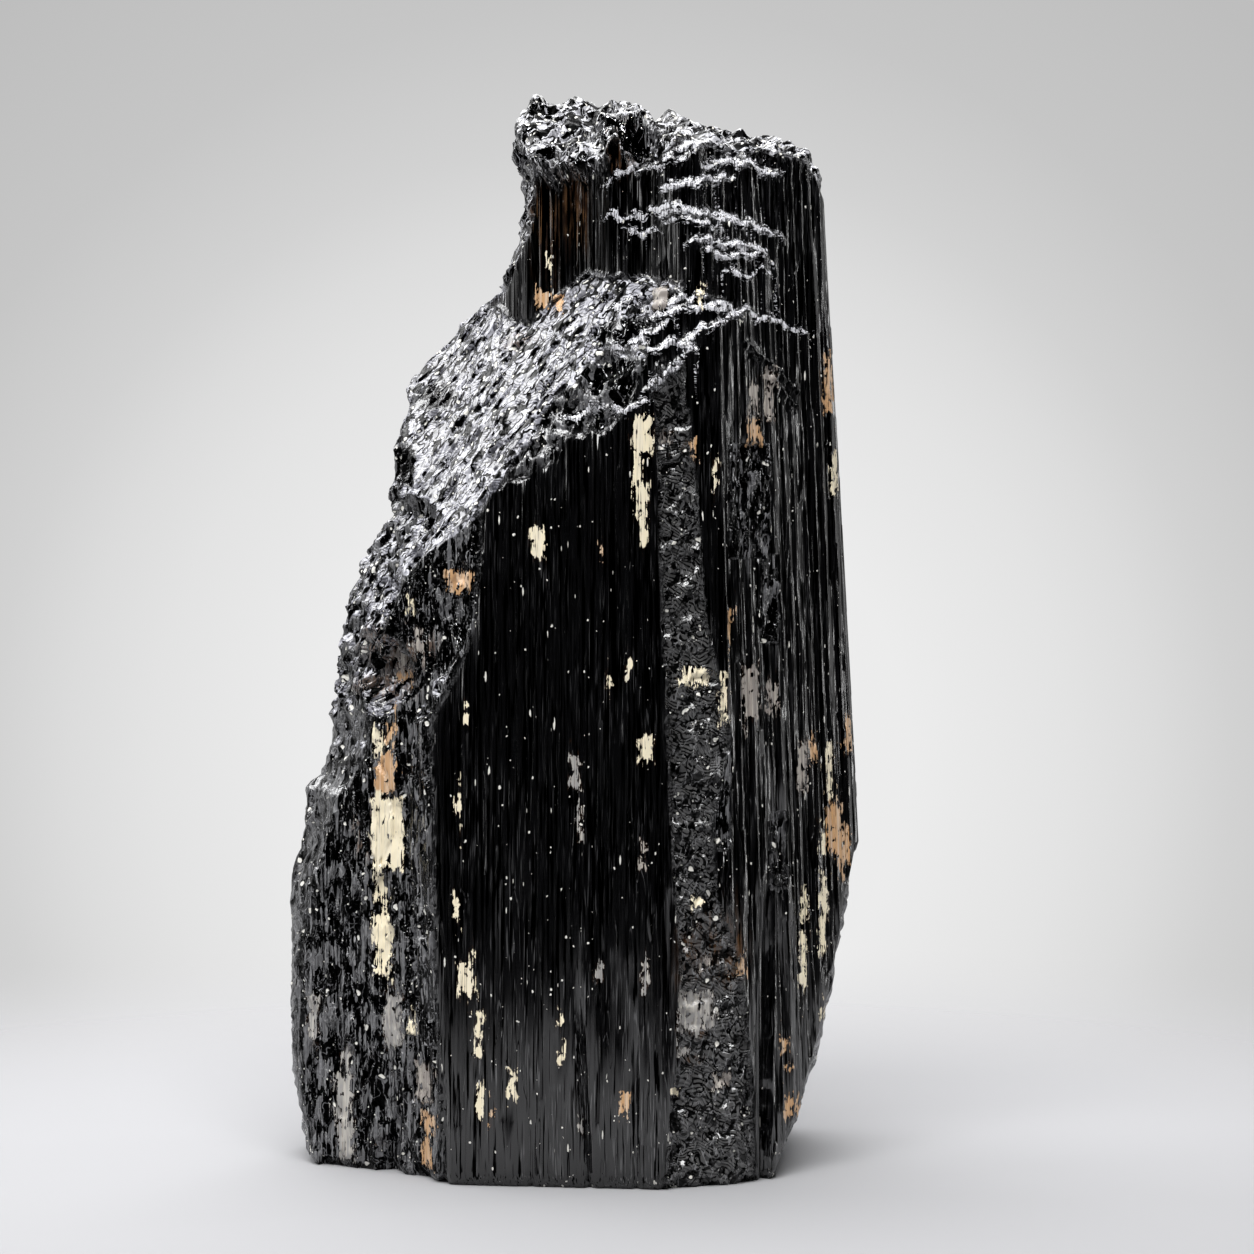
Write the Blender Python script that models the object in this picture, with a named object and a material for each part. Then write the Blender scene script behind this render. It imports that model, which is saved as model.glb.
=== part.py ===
"""A black tourmaline (schorl) crystal: one thick striated prism, broken obliquely across its upper left.

Blender 4.5, metres, +Z up. The crystal stands on its flat base with its broad front face towards -Y.
Its form is a field: the facets of the prism, the breaks through it, a recess and some ledges, joined and
cut by taking the greater or lesser of their distances. A sphere primitive is carved down to that field,
roughened with ribs and lumps, thinned to flat chips by Decimate, and cut off level at the base.
"""

import math

import bmesh
import bpy
import numpy as np

# All sizes are in millimetres until the mesh is written.
MM = 0.001
NODE = "tourmaline_crystal"

# ---- Driving dimensions ----
HEIGHT = 200.0
AXIS_X, AXIS_Y = 12.0, 0.0  # the upright line inside every section, from which the surface is reached
CROWN_Z = 160.0  # above this height the surface is reached from one point on that line
OUTSIDE = 95.0  # a distance from the line that clears the crystal everywhere

# The prism's facets: which way each faces in plan, its distance from the origin at the base, and how much
# nearer it comes for each millimetre of height.
FACETS = (
    (-97.2, 32.4, 0.022),  # front
    (-74.4, 37.6, 0.034),  # front, right of the middle
    (-43.1, 43.4, 0.040),  # front right
    (-5.2, 56.4, 0.056),  # right
    (39.0, 50.5, 0.050),  # back right
    (80.3, 38.5, 0.020),  # back
    (110.7, 38.5, 0.030),  # back left
    (149.0, 50.0, 0.040),  # left, behind
)
LEFT_FRONT = (-122.6, 33.0, 0.0)  # the set-back face left of the front slab
SLAB_SIDE_WAY = -155.7  # the way the narrow left side of the front slab faces
SLAB_SIDE = ((0, 33.4), (30, 34.6), (84, 35.4), (92, 31.2), (101, 28.2), (125, 26.5))  # height, reach
SLAB_FRONT_Y = -30.0

# (height, distance to the left) of the long broken left side, and how it turns away to the front and back.
# It turns less low down, where it is nearly square to the front, and less again up the narrow top.
LEFT_BREAK = (
    (0, 48.0), (2, 50.0), (5, 50.9), (9, 51.0), (17, 52.8), (46, 53.4), (52, 53.6), (58, 51.8), (69, 50.4),
    (72, 48.0), (80, 45.6), (89, 45.5), (97, 44.1), (106, 41.6), (111, 39.9), (117, 36.2), (121, 33.6),
    (126, 35.0), (131, 33.2), (140, 32.0), (145, 33.0), (150, 30.8), (154, 26.0), (159, 20.4), (163, 13.4),
    (168, 12.0), (173, 9.8), (178, 8.8), (185, 9.4), (191, 11.0), (196, 10.4), (201, 7.0),
)
LEFT_TURN_FRONT, LEFT_TURN_BACK, LEFT_TURN_Y = 0.42, 0.30, 5.0
LEFT_LOW_Z, LEFT_LOW_TURN = (30.0, 62.0), 0.2
LEFT_HIGH_Z, LEFT_HIGH_TURN = (150.0, 170.0), 0.4

# (height, distance to the right) of the chamfer broken from the lower right, and how it turns with depth
LOW_RIGHT_BREAK = ((0, 37.8), (10, 41.6), (20, 45.2), (30, 47.6), (46, 50.4), (62, 53.6), (70, 60), (205, 60))
LOW_RIGHT_TURN = 0.06

# (distance to the right, height) of the crest, and how steeply the top falls to the front and the back
CREST = (
    (-13, 191), (-10.3, 195), (-7, 199.3), (-4.6, 198.7), (-1, 198.4), (2.1, 199.2), (6.6, 197.5),
    (13.4, 197.4), (15.6, 195), (18, 196), (22.4, 194.2), (29, 192.2), (36, 191.8), (40.4, 190.7),
    (42.7, 189), (45, 186), (47.2, 179), (49.5, 166),
)
CREST_Y, CREST_BACK_Y = 5.0, 10.0
HEAD_FALL, RIGHT_FALL, BACK_FALL = 0.78, 0.20, 0.40
HEAD_RIGHT_X = 5.0  # where the head's steep front gives way to the flatter right side of the top

# The oblique break across the upper left: (distance to the right, height) of its smooth sheet and of the
# steeper rough edge in front of it, both measured at the front, and how fast each climbs towards the back.
SHEET = (
    (-50, 80), (-35, 95), (-24, 107), (-12.8, 124), (-2, 137), (9, 149), (20, 158.5), (26, 176), (32, 205),
)
EDGE = (
    (-50, 76), (-24, 101), (-12.8, 117), (-2, 127), (8.7, 135), (15, 145), (20, 156), (26, 176), (32, 205),
)
SHEET_CLIMB, EDGE_CLIMB = 1.05, 2.3
BREAK_FRONT_Y = -32.0
BREAK_TOP_Z = 171.0  # the height at which the break levels off towards the back

# The recessed wall above that break as (distance to the right, depth), and the head that overhangs it.
WALL = (
    (-34, 34), (-20, 12), (-14, 4), (-11, -3), (-8, -7), (3, -10), (7, -15.5), (14, -18.5), (20, -24),
    (26, -28),
)
HEAD_BULGE, HEAD_FOOT_Z, HEAD_LIP_Z = 4.6, 180.0, 183.5
VALLEY_X, VALLEY_Z, VALLEY_BACK_Y = 12.0, 183.0, -2.0
VALLEY_LEFT, VALLEY_RIGHT = 1.9, 1.0  # slopes of its two sides

# Ledges up the front, right of the wall: (height, set-back of the face above it, left end, right end).
LEDGE_FACE = FACETS[1]
LEDGES = (
    (150.5, 1.4, 24, 33), (158.5, 1.7, 14, 33), (166.0, 1.5, 8, 28), (173.0, 2.3, 8, 35),
    (180.5, 2.4, 12, 30), (187.5, 3.0, 12, 42),
)
LEDGE_SLOPE_Z = 1.8  # the height over which a ledge steps back
LEDGE_JAGS = ((5.0, 3.0), (1.9, 1.2))  # how far apart its jags lie, and how high they are

# The rough band down the front, a strip sunk into the prism: (height, left edge, right edge).
BAND = (
    (0, 16.8, 33.6), (16, 18.4, 33.0), (25, 19.6, 32.4), (41, 19.6, 30.8), (52, 18.6, 26.6), (66, 18.0, 25.4),
    (73, 17.7, 27.6), (81, 17.5, 29.0), (88, 17.3, 27.4), (103, 16.3, 24.6), (124, 16.0, 22.8),
    (146, 15.0, 20.6),
)
BAND_DEPTH, BAND_TOP_Z = 1.3, (144.0, 150.0)

# The hollow under the lower end of the oblique break: centre and radii.
POCKET_CENTRE, POCKET_RADII = (-37.0, -17.5, 92.5), (9.0, 6.5, 7.5)

# Grooves down the front: (x at the foot, x at the top, lowest z, highest z, half width, depth).
GROOVES = (
    (-33.2, -34.5, -5, 30, 2.6, 3.4),
    (-23.0, -23.0, -5, 22, 1.2, 1.2),
    (3.8, 0.8, -5, 44, 1.0, 1.3),
    (11.9, 11.4, -5, 36, 0.9, 0.9),
    (-7.2, -6.8, -5, 16, 0.7, 0.7),
    (34.6, 36.0, -5, 60, 1.5, 2.2),
)
FOOT_Z, FOOT_TUCK = 3.0, 1.2  # the foot is worn in below this height, by this much

# ---- Relief ----
RIB_COLUMNS = (2, 6)  # fewest and most mesh columns in a rib
FINE_RIBS, COARSE_RIBS = 0.45, 0.75  # rib height on the front slab and elsewhere
RIB_SLANT = 0.12  # rise of a rib's face from one mesh column to the next, at most
RIB_DRIFT, RIB_DRIFT_Z = 0.7, 38.0  # the share of its height that comes and goes, and over what length
LUMP_SIZES = (7.0, 3.2)
LUMP_HEIGHTS = (1.1, 0.6)
LUMP_LEVEL = 0.4  # the mean height of the lumps, which is taken off
LEFT_FACE_LUMPS = (0.35, 0.8)  # how lumpy the set-back left face is, low down and high up
CHIP_HEIGHT, CHIP_SIZE, CHIP_Z = 1.0, 2.6, (178.0, 192.0)  # chips round the broken top
SEED = 7

# ---- Mesh ----
SEGMENTS = 400
SIDE_ROWS, CROWN_ROWS, FLOOR_ROWS = 132, 46, 4
BELOW_BASE = 1.0  # carved below the base, and then cut off level
KEPT_TRIANGLES = 9300


def unit(azimuth):
    """The direction in plan that a facet faces, from its angle in degrees."""
    return math.cos(math.radians(azimuth)), math.sin(math.radians(azimuth))


def facet(x, y, z, azimuth, reach, lean):
    """Distance outside an upright facet."""
    nx, ny = unit(azimuth)
    return nx * x + ny * y - reach + lean * z


def table(value, rows, column=1):
    """A profile read between its listed points."""
    return np.interp(value, [row[0] for row in rows], [row[column] for row in rows])


def ramp(value, low, high):
    """0 below low, 1 above high, smooth between."""
    t = np.clip((value - low) / (high - low), 0.0, 1.0)
    return t * t * (3.0 - 2.0 * t)


class Lattice:
    """Gradient noise from -1 to 1 with one feature a unit, the same on each run."""

    def __init__(self, seed):
        chance = np.random.default_rng(seed)
        self.order = np.tile(chance.permutation(256), 2)
        way = chance.normal(size=(256, 3))
        self.way = way / np.linalg.norm(way, axis=1, keepdims=True)

    def __call__(self, x, y, z):
        x, y, z = np.broadcast_arrays(x, y, z)
        cell = [np.floor(c).astype(int) for c in (x, y, z)]
        part = [c - f for c, f in zip((x, y, z), cell)]
        fade = [t * t * t * (t * (t * 6 - 15) + 10) for t in part]
        total = np.zeros(np.shape(x))
        for corner in range(8):
            step = (corner & 1, corner >> 1 & 1, corner >> 2)
            index = 0
            for c, s in zip(cell, step):
                index = self.order[(index + c + s) & 255]
            way = self.way[index]
            slope = sum(way[..., k] * (part[k] - step[k]) for k in range(3))
            weight = 1.0
            for k in range(3):
                weight = weight * (fade[k] if step[k] else 1.0 - fade[k])
            total += weight * slope
        return 1.6 * total


noise = Lattice(SEED)


def prism(x, y, z):
    """The striated prism, with its front slab, set-back left face, grooves and sunken band."""
    value = np.full(np.shape(x), -1e9)
    for row in FACETS:
        value = np.maximum(value, facet(x, y, z, *row))
    slab_side = facet(x, y, z, SLAB_SIDE_WAY, 0.0, 0.0) - table(z, SLAB_SIDE)
    value = np.maximum(value, np.minimum(facet(x, y, z, *LEFT_FRONT), slab_side))
    value += FOOT_TUCK * (1.0 - np.clip(z / FOOT_Z, 0.0, 1.0)) ** 2
    front = ramp(-y, 4.0, 12.0)
    for foot_x, top_x, low, high, half_width, depth in GROOVES:
        share = np.clip((z - low) / (high - low), 0.0, 1.0)
        centre = foot_x + (top_x - foot_x) * share
        fade = 1.0 - ramp(z, 0.6 * high, high)
        value += front * fade * depth * np.clip(1.0 - np.abs(x - centre) / half_width, 0.0, 1.0)
    in_band = ramp(x - table(z, BAND), 0.0, 0.5) * ramp(table(z, BAND, 2) - x, 0.0, 0.5)
    return value + BAND_DEPTH * front * in_band * (1.0 - ramp(z, *BAND_TOP_Z))


def left_break(x, y, z):
    """The long broken left side, which turns away to the front and the back."""
    behind = y - LEFT_TURN_Y
    turn = LEFT_TURN_FRONT * np.maximum(-behind, 0.0) + LEFT_TURN_BACK * np.maximum(behind, 0.0)
    turn *= 1.0 + (LEFT_HIGH_TURN - 1.0) * ramp(z, *LEFT_HIGH_Z)
    turn *= LEFT_LOW_TURN + (1.0 - LEFT_LOW_TURN) * ramp(z, *LEFT_LOW_Z)
    return 0.9 * (-x + turn - table(z, LEFT_BREAK))


def low_right_break(x, y, z):
    """Outside the chamfer broken from the lower right."""
    return 0.9 * (x + LOW_RIGHT_TURN * np.abs(y) - table(z, LOW_RIGHT_BREAK))


def oblique_break(x, y, z):
    """Above the oblique break. It climbs to the right and to the back, steeply at first and then less so."""
    depth = y - BREAK_FRONT_Y
    sheet = np.minimum(table(x, SHEET) + SHEET_CLIMB * depth, BREAK_TOP_Z + 0.25 * (y - 10.0))
    edge = table(x, EDGE) + EDGE_CLIMB * depth
    return np.maximum(0.62 * (z - sheet), 0.38 * (z - edge))


def wall(x, y, z):
    """In front of the recessed wall, which the head overhangs."""
    head = ramp(z, HEAD_FOOT_Z, HEAD_LIP_Z) * (1.0 - ramp(x, 2.0, HEAD_RIGHT_X + 4.0))
    return 0.8 * (table(x, WALL) - y) - HEAD_BULGE * head


def jagged_line(number):
    """How far a ledge wanders up and down along its length, as a profile across the crystal."""
    across = np.linspace(0.0, 60.0, 121)
    rise = sum(high * noise(across / apart, number + 0.4, 5.1 * apart) for apart, high in LEDGE_JAGS)
    return np.stack([across, rise], 1)


JAGGED_LINES = [jagged_line(number) for number in range(len(LEDGES))]


def ledges(x, y, z):
    """The face that steps back up the front, one ledge after another."""
    setback = 0.0
    for (height, depth, left, right), jags in zip(LEDGES, JAGGED_LINES):
        line = height + np.interp(x, jags[:, 0], jags[:, 1])
        across = ramp(x, left - 2.0, left + 2.0) * ramp(right - x, -5.0, 3.0)
        setback = setback + depth * across * ramp(z, line, line + LEDGE_SLOPE_Z)
    return facet(x, y, z, *LEDGE_FACE) + setback


def top(x, y, z):
    """Above the broken top, with the valley between the head and the right side."""
    front_fall = HEAD_FALL + (RIGHT_FALL - HEAD_FALL) * ramp(x, HEAD_RIGHT_X - 3.0, HEAD_RIGHT_X + 5.0)
    height = table(x, CREST) - front_fall * np.maximum(CREST_Y - y, 0.0)
    height -= BACK_FALL * np.maximum(y - CREST_BACK_Y, 0.0)
    side = np.maximum(VALLEY_LEFT * (VALLEY_X - x), VALLEY_RIGHT * (x - VALLEY_X))
    valley = 0.5 * np.minimum(z - VALLEY_Z - side, VALLEY_BACK_Y - y)
    return np.maximum(0.8 * (z - height), valley)


def pocket(x, y, z):
    """Inside the hollow under the lower end of the oblique break, as a negative distance."""
    scaled = sum(((c - m) / r) ** 2 for c, m, r in zip((x, y, z), POCKET_CENTRE, POCKET_RADII))
    return (np.sqrt(scaled) - 1.0) * min(POCKET_RADII)


def crystal(x, y, z):
    """Distance outside the crystal before its relief, negative inside."""
    value = np.maximum(prism(x, y, z), left_break(x, y, z))
    value = np.maximum(value, low_right_break(x, y, z))
    value = np.maximum(value, np.minimum(oblique_break(x, y, z), wall(x, y, z)))
    value = np.maximum(value, ledges(x, y, z))
    value = np.maximum(value, top(x, y, z))
    return np.maximum(value, -pocket(x, y, z))


def rays(turn, row):
    """Where each vertex's ray starts and which way it points: level up the sides, fanned over the crown."""
    side = np.clip((row - FLOOR_ROWS) / SIDE_ROWS, 0.0, 1.0)
    lift = 0.5 * math.pi * np.clip((row - FLOOR_ROWS - SIDE_ROWS) / CROWN_ROWS, 0.0, 1.0)
    height = -BELOW_BASE + side * (CROWN_Z + BELOW_BASE)
    start = np.stack([np.full(len(row), AXIS_X), np.full(len(row), AXIS_Y), height], 1)
    way = np.stack([np.cos(turn) * np.cos(lift), np.sin(turn) * np.cos(lift), np.sin(lift)], 1)
    return start, way


def outermost(start, way):
    """How far along each ray the surface lies, coming in from outside."""
    far = np.full(len(start), OUTSIDE)
    for _ in range(90):
        gap = crystal(*(start + far[:, None] * way).T)
        far = np.maximum(far - 0.55 * gap, 1.0)
    return far


def column_turns():
    """The angle about the axis of each mesh column, so that columns lie evenly round the prism."""
    turn = np.radians(np.arange(361.0))
    start, way = rays(turn, np.full(361, FLOOR_ROWS + 0.35 * SIDE_ROWS))
    outline = start + outermost(start, way)[:, None] * way
    around = np.concatenate([[0.0], np.cumsum(np.linalg.norm(np.diff(outline, axis=0), axis=1))])
    return np.interp(np.arange(SEGMENTS) * around[-1] / SEGMENTS, around, turn)


def ribs(column, x, z):
    """Height of the upright ribs: narrow flats side by side, each at its own level and slant."""
    chance = np.random.default_rng(SEED + 1)
    first = np.cumsum(chance.integers(RIB_COLUMNS[0], RIB_COLUMNS[1] + 1, size=SEGMENTS))
    first = first[first < SEGMENTS - RIB_COLUMNS[0]]
    rib = np.searchsorted(first, column, side="right")
    middle = 0.5 * (np.append(first, SEGMENTS) + np.insert(first, 0, 0))
    level, slant = chance.uniform(-1.0, 1.0, size=(2, SEGMENTS))
    drift = RIB_DRIFT * noise(z / RIB_DRIFT_Z, rib * 7.3, 0.5)
    height = COARSE_RIBS + (FINE_RIBS - COARSE_RIBS) * ramp(x, -30.0, -22.0) * (1.0 - ramp(x, 16.0, 26.0))
    return height * (level[rib] + drift) + RIB_SLANT * slant[rib] * (column - middle[rib])


def lumps(points):
    """Height of the lumps and hollows on a broken surface."""
    total = np.full(len(points), -LUMP_LEVEL)
    for k, (size, height) in enumerate(zip(LUMP_SIZES, LUMP_HEIGHTS)):
        x, y, z = (points / size + 11.7 * k).T
        total += height * (1.0 - 2.2 * np.abs(noise(x, y, z)))
    return total


def slab_left(z):
    """How far to the right the front slab begins."""
    nx, ny = unit(SLAB_SIDE_WAY)
    return (table(z, SLAB_SIDE) - ny * SLAB_FRONT_Y) / nx


def brokenness(x, y, z):
    """1 on broken surfaces, which are lumpy, and 0 on the ribbed ones: the prism and the recessed wall."""
    ribbed = ramp(np.maximum(prism(x, y, z), ledges(x, y, z)), -1.4, -0.3)
    low, high = LEFT_FACE_LUMPS
    set_back = low + (high - low) * ramp(z, 76.0, 90.0)
    set_back *= ramp(slab_left(z) - x, -0.5, 1.5) * ramp(-y, 2.0, 8.0)
    on_wall = ramp(wall(x, y, z), -1.2, -0.2) * ramp(oblique_break(x, y, z), 0.0, 1.0)
    on_wall *= 1.0 - ramp(z, HEAD_FOOT_Z - 2.0, HEAD_FOOT_Z) * ramp(HEAD_RIGHT_X - x, -2.0, 2.0)
    return 1.0 - np.maximum(ribbed * (1.0 - set_back), on_wall)


def carve(ball):
    """Moves each vertex of the sphere along its ray to the crystal, roughened with ribs and lumps."""
    place = np.empty(len(ball.vertices) * 3)
    ball.vertices.foreach_get("co", place)
    x, y, z = place.reshape(-1, 3).T
    rows = FLOOR_ROWS + SIDE_ROWS + CROWN_ROWS
    row = np.rint((np.arctan2(z, np.hypot(x, y)) / math.pi + 0.5) * rows)
    column = np.rint(np.arctan2(y, x) / (2.0 * math.pi) * SEGMENTS).astype(int) % SEGMENTS
    start, way = rays(column_turns()[column], row)
    far = outermost(start, way)
    base = start + far[:, None] * way
    broken = brokenness(*base.T)
    relief = (1.0 - broken) * ribs(column, base[:, 0], base[:, 2]) + broken * lumps(base)
    relief += CHIP_HEIGHT * ramp(base[:, 2], *CHIP_Z) * noise(*(base / CHIP_SIZE).T)
    far = np.where(row < FLOOR_ROWS, far * row / FLOOR_ROWS, far + relief)
    carved = start + far[:, None] * way
    ball.vertices.foreach_set("co", (carved * MM).ravel())
    ball.update()


def level_base(mesh):
    """Cuts the crystal off level at z = 0 and closes the cut with one flat face."""
    cut = bmesh.new()
    cut.from_mesh(mesh)
    everything = cut.verts[:] + cut.edges[:] + cut.faces[:]
    bmesh.ops.bisect_plane(cut, geom=everything, plane_co=(0, 0, 0), plane_no=(0, 0, 1), clear_inner=True)
    rim = [edge for edge in cut.edges if edge.is_boundary]
    bmesh.ops.holes_fill(cut, edges=rim, sides=0)
    bmesh.ops.recalc_face_normals(cut, faces=cut.faces[:])
    cut.to_mesh(mesh)
    cut.free()


def fit_to_size(mesh):
    """Brings the crystal to its full height and puts the middle of its box over the origin."""
    places = np.empty(len(mesh.vertices) * 3)
    mesh.vertices.foreach_get("co", places)
    places = places.reshape(-1, 3)
    low, high = places.min(axis=0), places.max(axis=0)
    middle = np.array([0.5 * (low[0] + high[0]), 0.5 * (low[1] + high[1]), low[2]])
    places = (places - middle) * HEIGHT * MM / (high[2] - low[2])
    mesh.vertices.foreach_set("co", places.ravel())
    mesh.update()


def black_tourmaline():
    material = bpy.data.materials.new("black_tourmaline")
    material.use_nodes = True
    shader = material.node_tree.nodes["Principled BSDF"]
    shader.inputs["Base Color"].default_value = (0.012, 0.012, 0.014, 1.0)
    shader.inputs["Roughness"].default_value = 0.28
    shader.inputs["IOR"].default_value = 1.64
    return material


def main():
    for old in list(bpy.data.objects):
        bpy.data.objects.remove(old)
    collection = bpy.data.collections.new(NODE)
    bpy.context.scene.collection.children.link(collection)

    rows = FLOOR_ROWS + SIDE_ROWS + CROWN_ROWS
    bpy.ops.mesh.primitive_uv_sphere_add(segments=SEGMENTS, ring_count=rows, radius=1.0)
    rough = bpy.context.object
    carve(rough.data)
    thin = rough.modifiers.new("chips", "DECIMATE")
    thin.ratio = KEPT_TRIANGLES / (2.0 * SEGMENTS * (rows - 1))
    thin.use_collapse_triangulate = True
    graph = bpy.context.evaluated_depsgraph_get()
    mesh = bpy.data.meshes.new_from_object(rough.evaluated_get(graph))
    bpy.data.objects.remove(rough)

    level_base(mesh)
    fit_to_size(mesh)
    mesh.shade_flat()
    mesh.materials.append(black_tourmaline())
    stone = bpy.data.objects.new(NODE, mesh)
    collection.objects.link(stone)


main()
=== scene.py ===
"""The looks of a black tourmaline (schorl) crystal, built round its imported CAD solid.

Blender 4.5, metres, +Z up. The crystal stands on its flat base with its broad front face towards -Y.
The CAD solid's form is reached again on a much finer grid of rays, and given its relief in mesh and a
procedural material. Its named values are the solid's, but for the ledges, which are thinner and more, and
the foot of the head's overhang, which is 3.5 to 5 mm higher.
"""

import math
from types import SimpleNamespace

import bpy
import numpy as np
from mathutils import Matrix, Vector


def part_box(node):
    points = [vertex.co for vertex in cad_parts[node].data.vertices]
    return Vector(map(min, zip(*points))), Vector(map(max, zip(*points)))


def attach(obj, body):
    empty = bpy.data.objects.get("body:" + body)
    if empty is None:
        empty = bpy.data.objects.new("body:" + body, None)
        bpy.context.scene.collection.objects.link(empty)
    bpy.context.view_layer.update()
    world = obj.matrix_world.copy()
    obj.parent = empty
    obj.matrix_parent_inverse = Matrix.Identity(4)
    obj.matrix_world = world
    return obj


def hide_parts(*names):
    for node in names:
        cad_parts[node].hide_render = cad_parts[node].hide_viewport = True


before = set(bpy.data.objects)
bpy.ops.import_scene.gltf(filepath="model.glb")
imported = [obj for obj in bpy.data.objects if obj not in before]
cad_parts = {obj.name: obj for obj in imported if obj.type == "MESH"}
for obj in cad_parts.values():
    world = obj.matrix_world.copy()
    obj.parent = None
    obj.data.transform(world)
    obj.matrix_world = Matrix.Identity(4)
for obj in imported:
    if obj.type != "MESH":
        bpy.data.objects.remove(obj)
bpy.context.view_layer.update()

# All sizes are in millimetres until a mesh is written.
MM = 0.001
NODE = "tourmaline_crystal"

# ---- Driving dimensions ----
AXIS_X, AXIS_Y = 12.0, 0.0  # the upright line inside every section, from which the surface is reached
CROWN_Z = 160.0  # above this height the surface is reached from one point on that line
OUTSIDE = 95.0  # a distance from the line that clears the crystal everywhere

# The prism's facets: which way each faces in plan, its distance from the origin at the base, and how much
# nearer it comes for each millimetre of height.
FACETS = (
    (-97.2, 32.4, 0.022),  # front
    (-74.4, 37.6, 0.034),  # front, right of the middle
    (-43.1, 43.4, 0.04),  # front right
    (-5.2, 56.4, 0.056),  # right
    (39, 50.5, 0.05),  # back right
    (80.3, 38.5, 0.02),  # back
    (110.7, 38.5, 0.03),  # back left
    (149, 50, 0.04),  # left, behind
)
LEFT_FRONT = (-122.6, 33, 0)  # the set-back face left of the front slab
SLAB_SIDE_WAY = -155.7  # the way the narrow left side of the front slab faces
SLAB_SIDE = ((0, 33.4), (30, 34.6), (84, 35.4), (92, 31.2), (101, 28.2), (125, 26.5))  # height, reach
SLAB_FRONT_Y = -30.0

# (height, distance to the left) of the long broken left side, and how it turns away to the front and back.
# It turns less low down, where it is nearly square to the front, and less again up the narrow top.
LEFT_BREAK = (
    (0, 48), (2, 50), (5, 50.9), (9, 51), (17, 52.8), (46, 53.4), (52, 53.6), (58, 51.8), (69, 50.4),
    (72, 48), (80, 45.6), (89, 45.5), (97, 44.1), (106, 41.6), (111, 39.9), (117, 36.2), (121, 33.6),
    (126, 35), (131, 33.2), (140, 32), (145, 33), (150, 30.8), (154, 26), (159, 20.4), (163, 13.4),
    (168, 12), (173, 9.8), (178, 8.8), (185, 9.4), (191, 11), (196, 10.4), (201, 7),
)
LEFT_TURN_FRONT, LEFT_TURN_BACK, LEFT_TURN_Y = 0.42, 0.3, 5.0
LEFT_LOW_Z, LEFT_LOW_TURN = (30.0, 62.0), 0.2
LEFT_HIGH_Z, LEFT_HIGH_TURN = (150.0, 170.0), 0.4

# (height, distance to the right) of the chamfer broken from the lower right, and how it turns with depth
LOW_RIGHT_BREAK = ((0, 37.8), (10, 41.6), (20, 45.2), (30, 47.6), (46, 50.4), (62, 53.6), (70, 60), (205, 60))
LOW_RIGHT_TURN = 0.06

# (distance to the right, height) of the crest, and how steeply the top falls to the front and the back
CREST = (
    (-13, 191), (-10.3, 195), (-7, 199.3), (-4.6, 198.7), (-1, 198.4), (2.1, 199.2), (6.6, 197.5),
    (13.4, 197.4), (15.6, 195), (18, 196), (22.4, 194.2), (29, 192.2), (36, 191.8), (40.4, 190.7),
    (42.7, 189), (45, 186), (47.2, 179), (49.5, 166),
)
CREST_Y, CREST_BACK_Y = 5.0, 10.0
HEAD_FALL, RIGHT_FALL, BACK_FALL = 0.78, 0.2, 0.4
HEAD_RIGHT_X = 5.0  # where the head's steep front gives way to the flatter right side of the top

# The oblique break across the upper left: (distance to the right, height) of its smooth sheet and of the
# steeper rough edge in front of it, both at the front, and how fast each climbs towards the back.
SHEET = (
    (-50, 80), (-35, 95), (-24, 107), (-12.8, 124), (-2, 137), (9, 149), (20, 158.5), (26, 176), (32, 205),
)
EDGE = (
    (-50, 76), (-24, 101), (-12.8, 117), (-2, 127), (8.7, 135), (15, 145), (20, 156), (26, 176), (32, 205),
)
SHEET_CLIMB, EDGE_CLIMB = 1.05, 2.3
SHEET_SHARE, EDGE_SHARE = 0.62, 0.38  # of a height above each, what is taken as the distance from it
BREAK_FRONT_Y = -32.0
BREAK_TOP_Z = 171.0  # the height at which the break levels off towards the back

# The recessed wall above that break as (distance to the right, depth), and the head that overhangs it.
WALL = (
    (-34, 34), (-20, 12), (-14, 4), (-11, -3), (-8, -7), (3, -10), (7, -15.5), (14, -18.5), (20, -24),
    (26, -28),
)
HEAD_BULGE, HEAD_FOOT_Z, HEAD_LIP_Z = 4.6, 185.0, 187.0
VALLEY_X, VALLEY_Z, VALLEY_BACK_Y = 12.0, 183.0, -2.0
VALLEY_LEFT, VALLEY_RIGHT = 1.9, 1.0  # slopes of its two sides

# Ledges up the front, right of the wall, 23 thin ones for the solid's six deep ones: (height at the left
# end, height at the right end, set-back of the face above it, left end, right end).
LEDGE_FACES = FACETS[1:3]
LEDGES = (
    (138.4, 141.6, 0.4, -1, 13), (143.5, 149.5, 0.9, 13, 21), (150.6, 152.6, 0.7, 6, 21),
    (154.6, 155.4, 0.4, 9, 18), (152.6, 156.8, 0.7, 20, 28), (157.2, 157.8, 0.5, 13, 29),
    (160.2, 160.3, 0.6, 7, 24), (160, 158.6, 0.6, 25, 33), (156.2, 155.4, 0.3, 33, 43),
    (165.4, 165, 0.3, 28, 36), (169.4, 168, 0.5, 24, 35), (171.8, 169.8, 0.6, 21, 34),
    (173.2, 172.4, 0.5, 9, 15), (175.2, 176.4, 0.7, 6, 17), (177.6, 175, 0.9, 15, 30),
    (175.6, 173.6, 0.7, 24, 37), (174, 172.6, 0.5, 17, 26), (180.4, 182.4, 0.9, 16, 28),
    (181, 185.4, 0.5, 6, 13), (183.6, 186.8, 0.7, 12, 20), (186, 184.6, 0.9, 24, 37),
    (187.6, 189.8, 0.7, 19, 30), (190.6, 188.6, 0.6, 30, 42),
)
LEDGE_FOOT_Z = 136.0
LEDGE_SLOPE_Z = 0.8  # the height over which a ledge steps back
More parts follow.
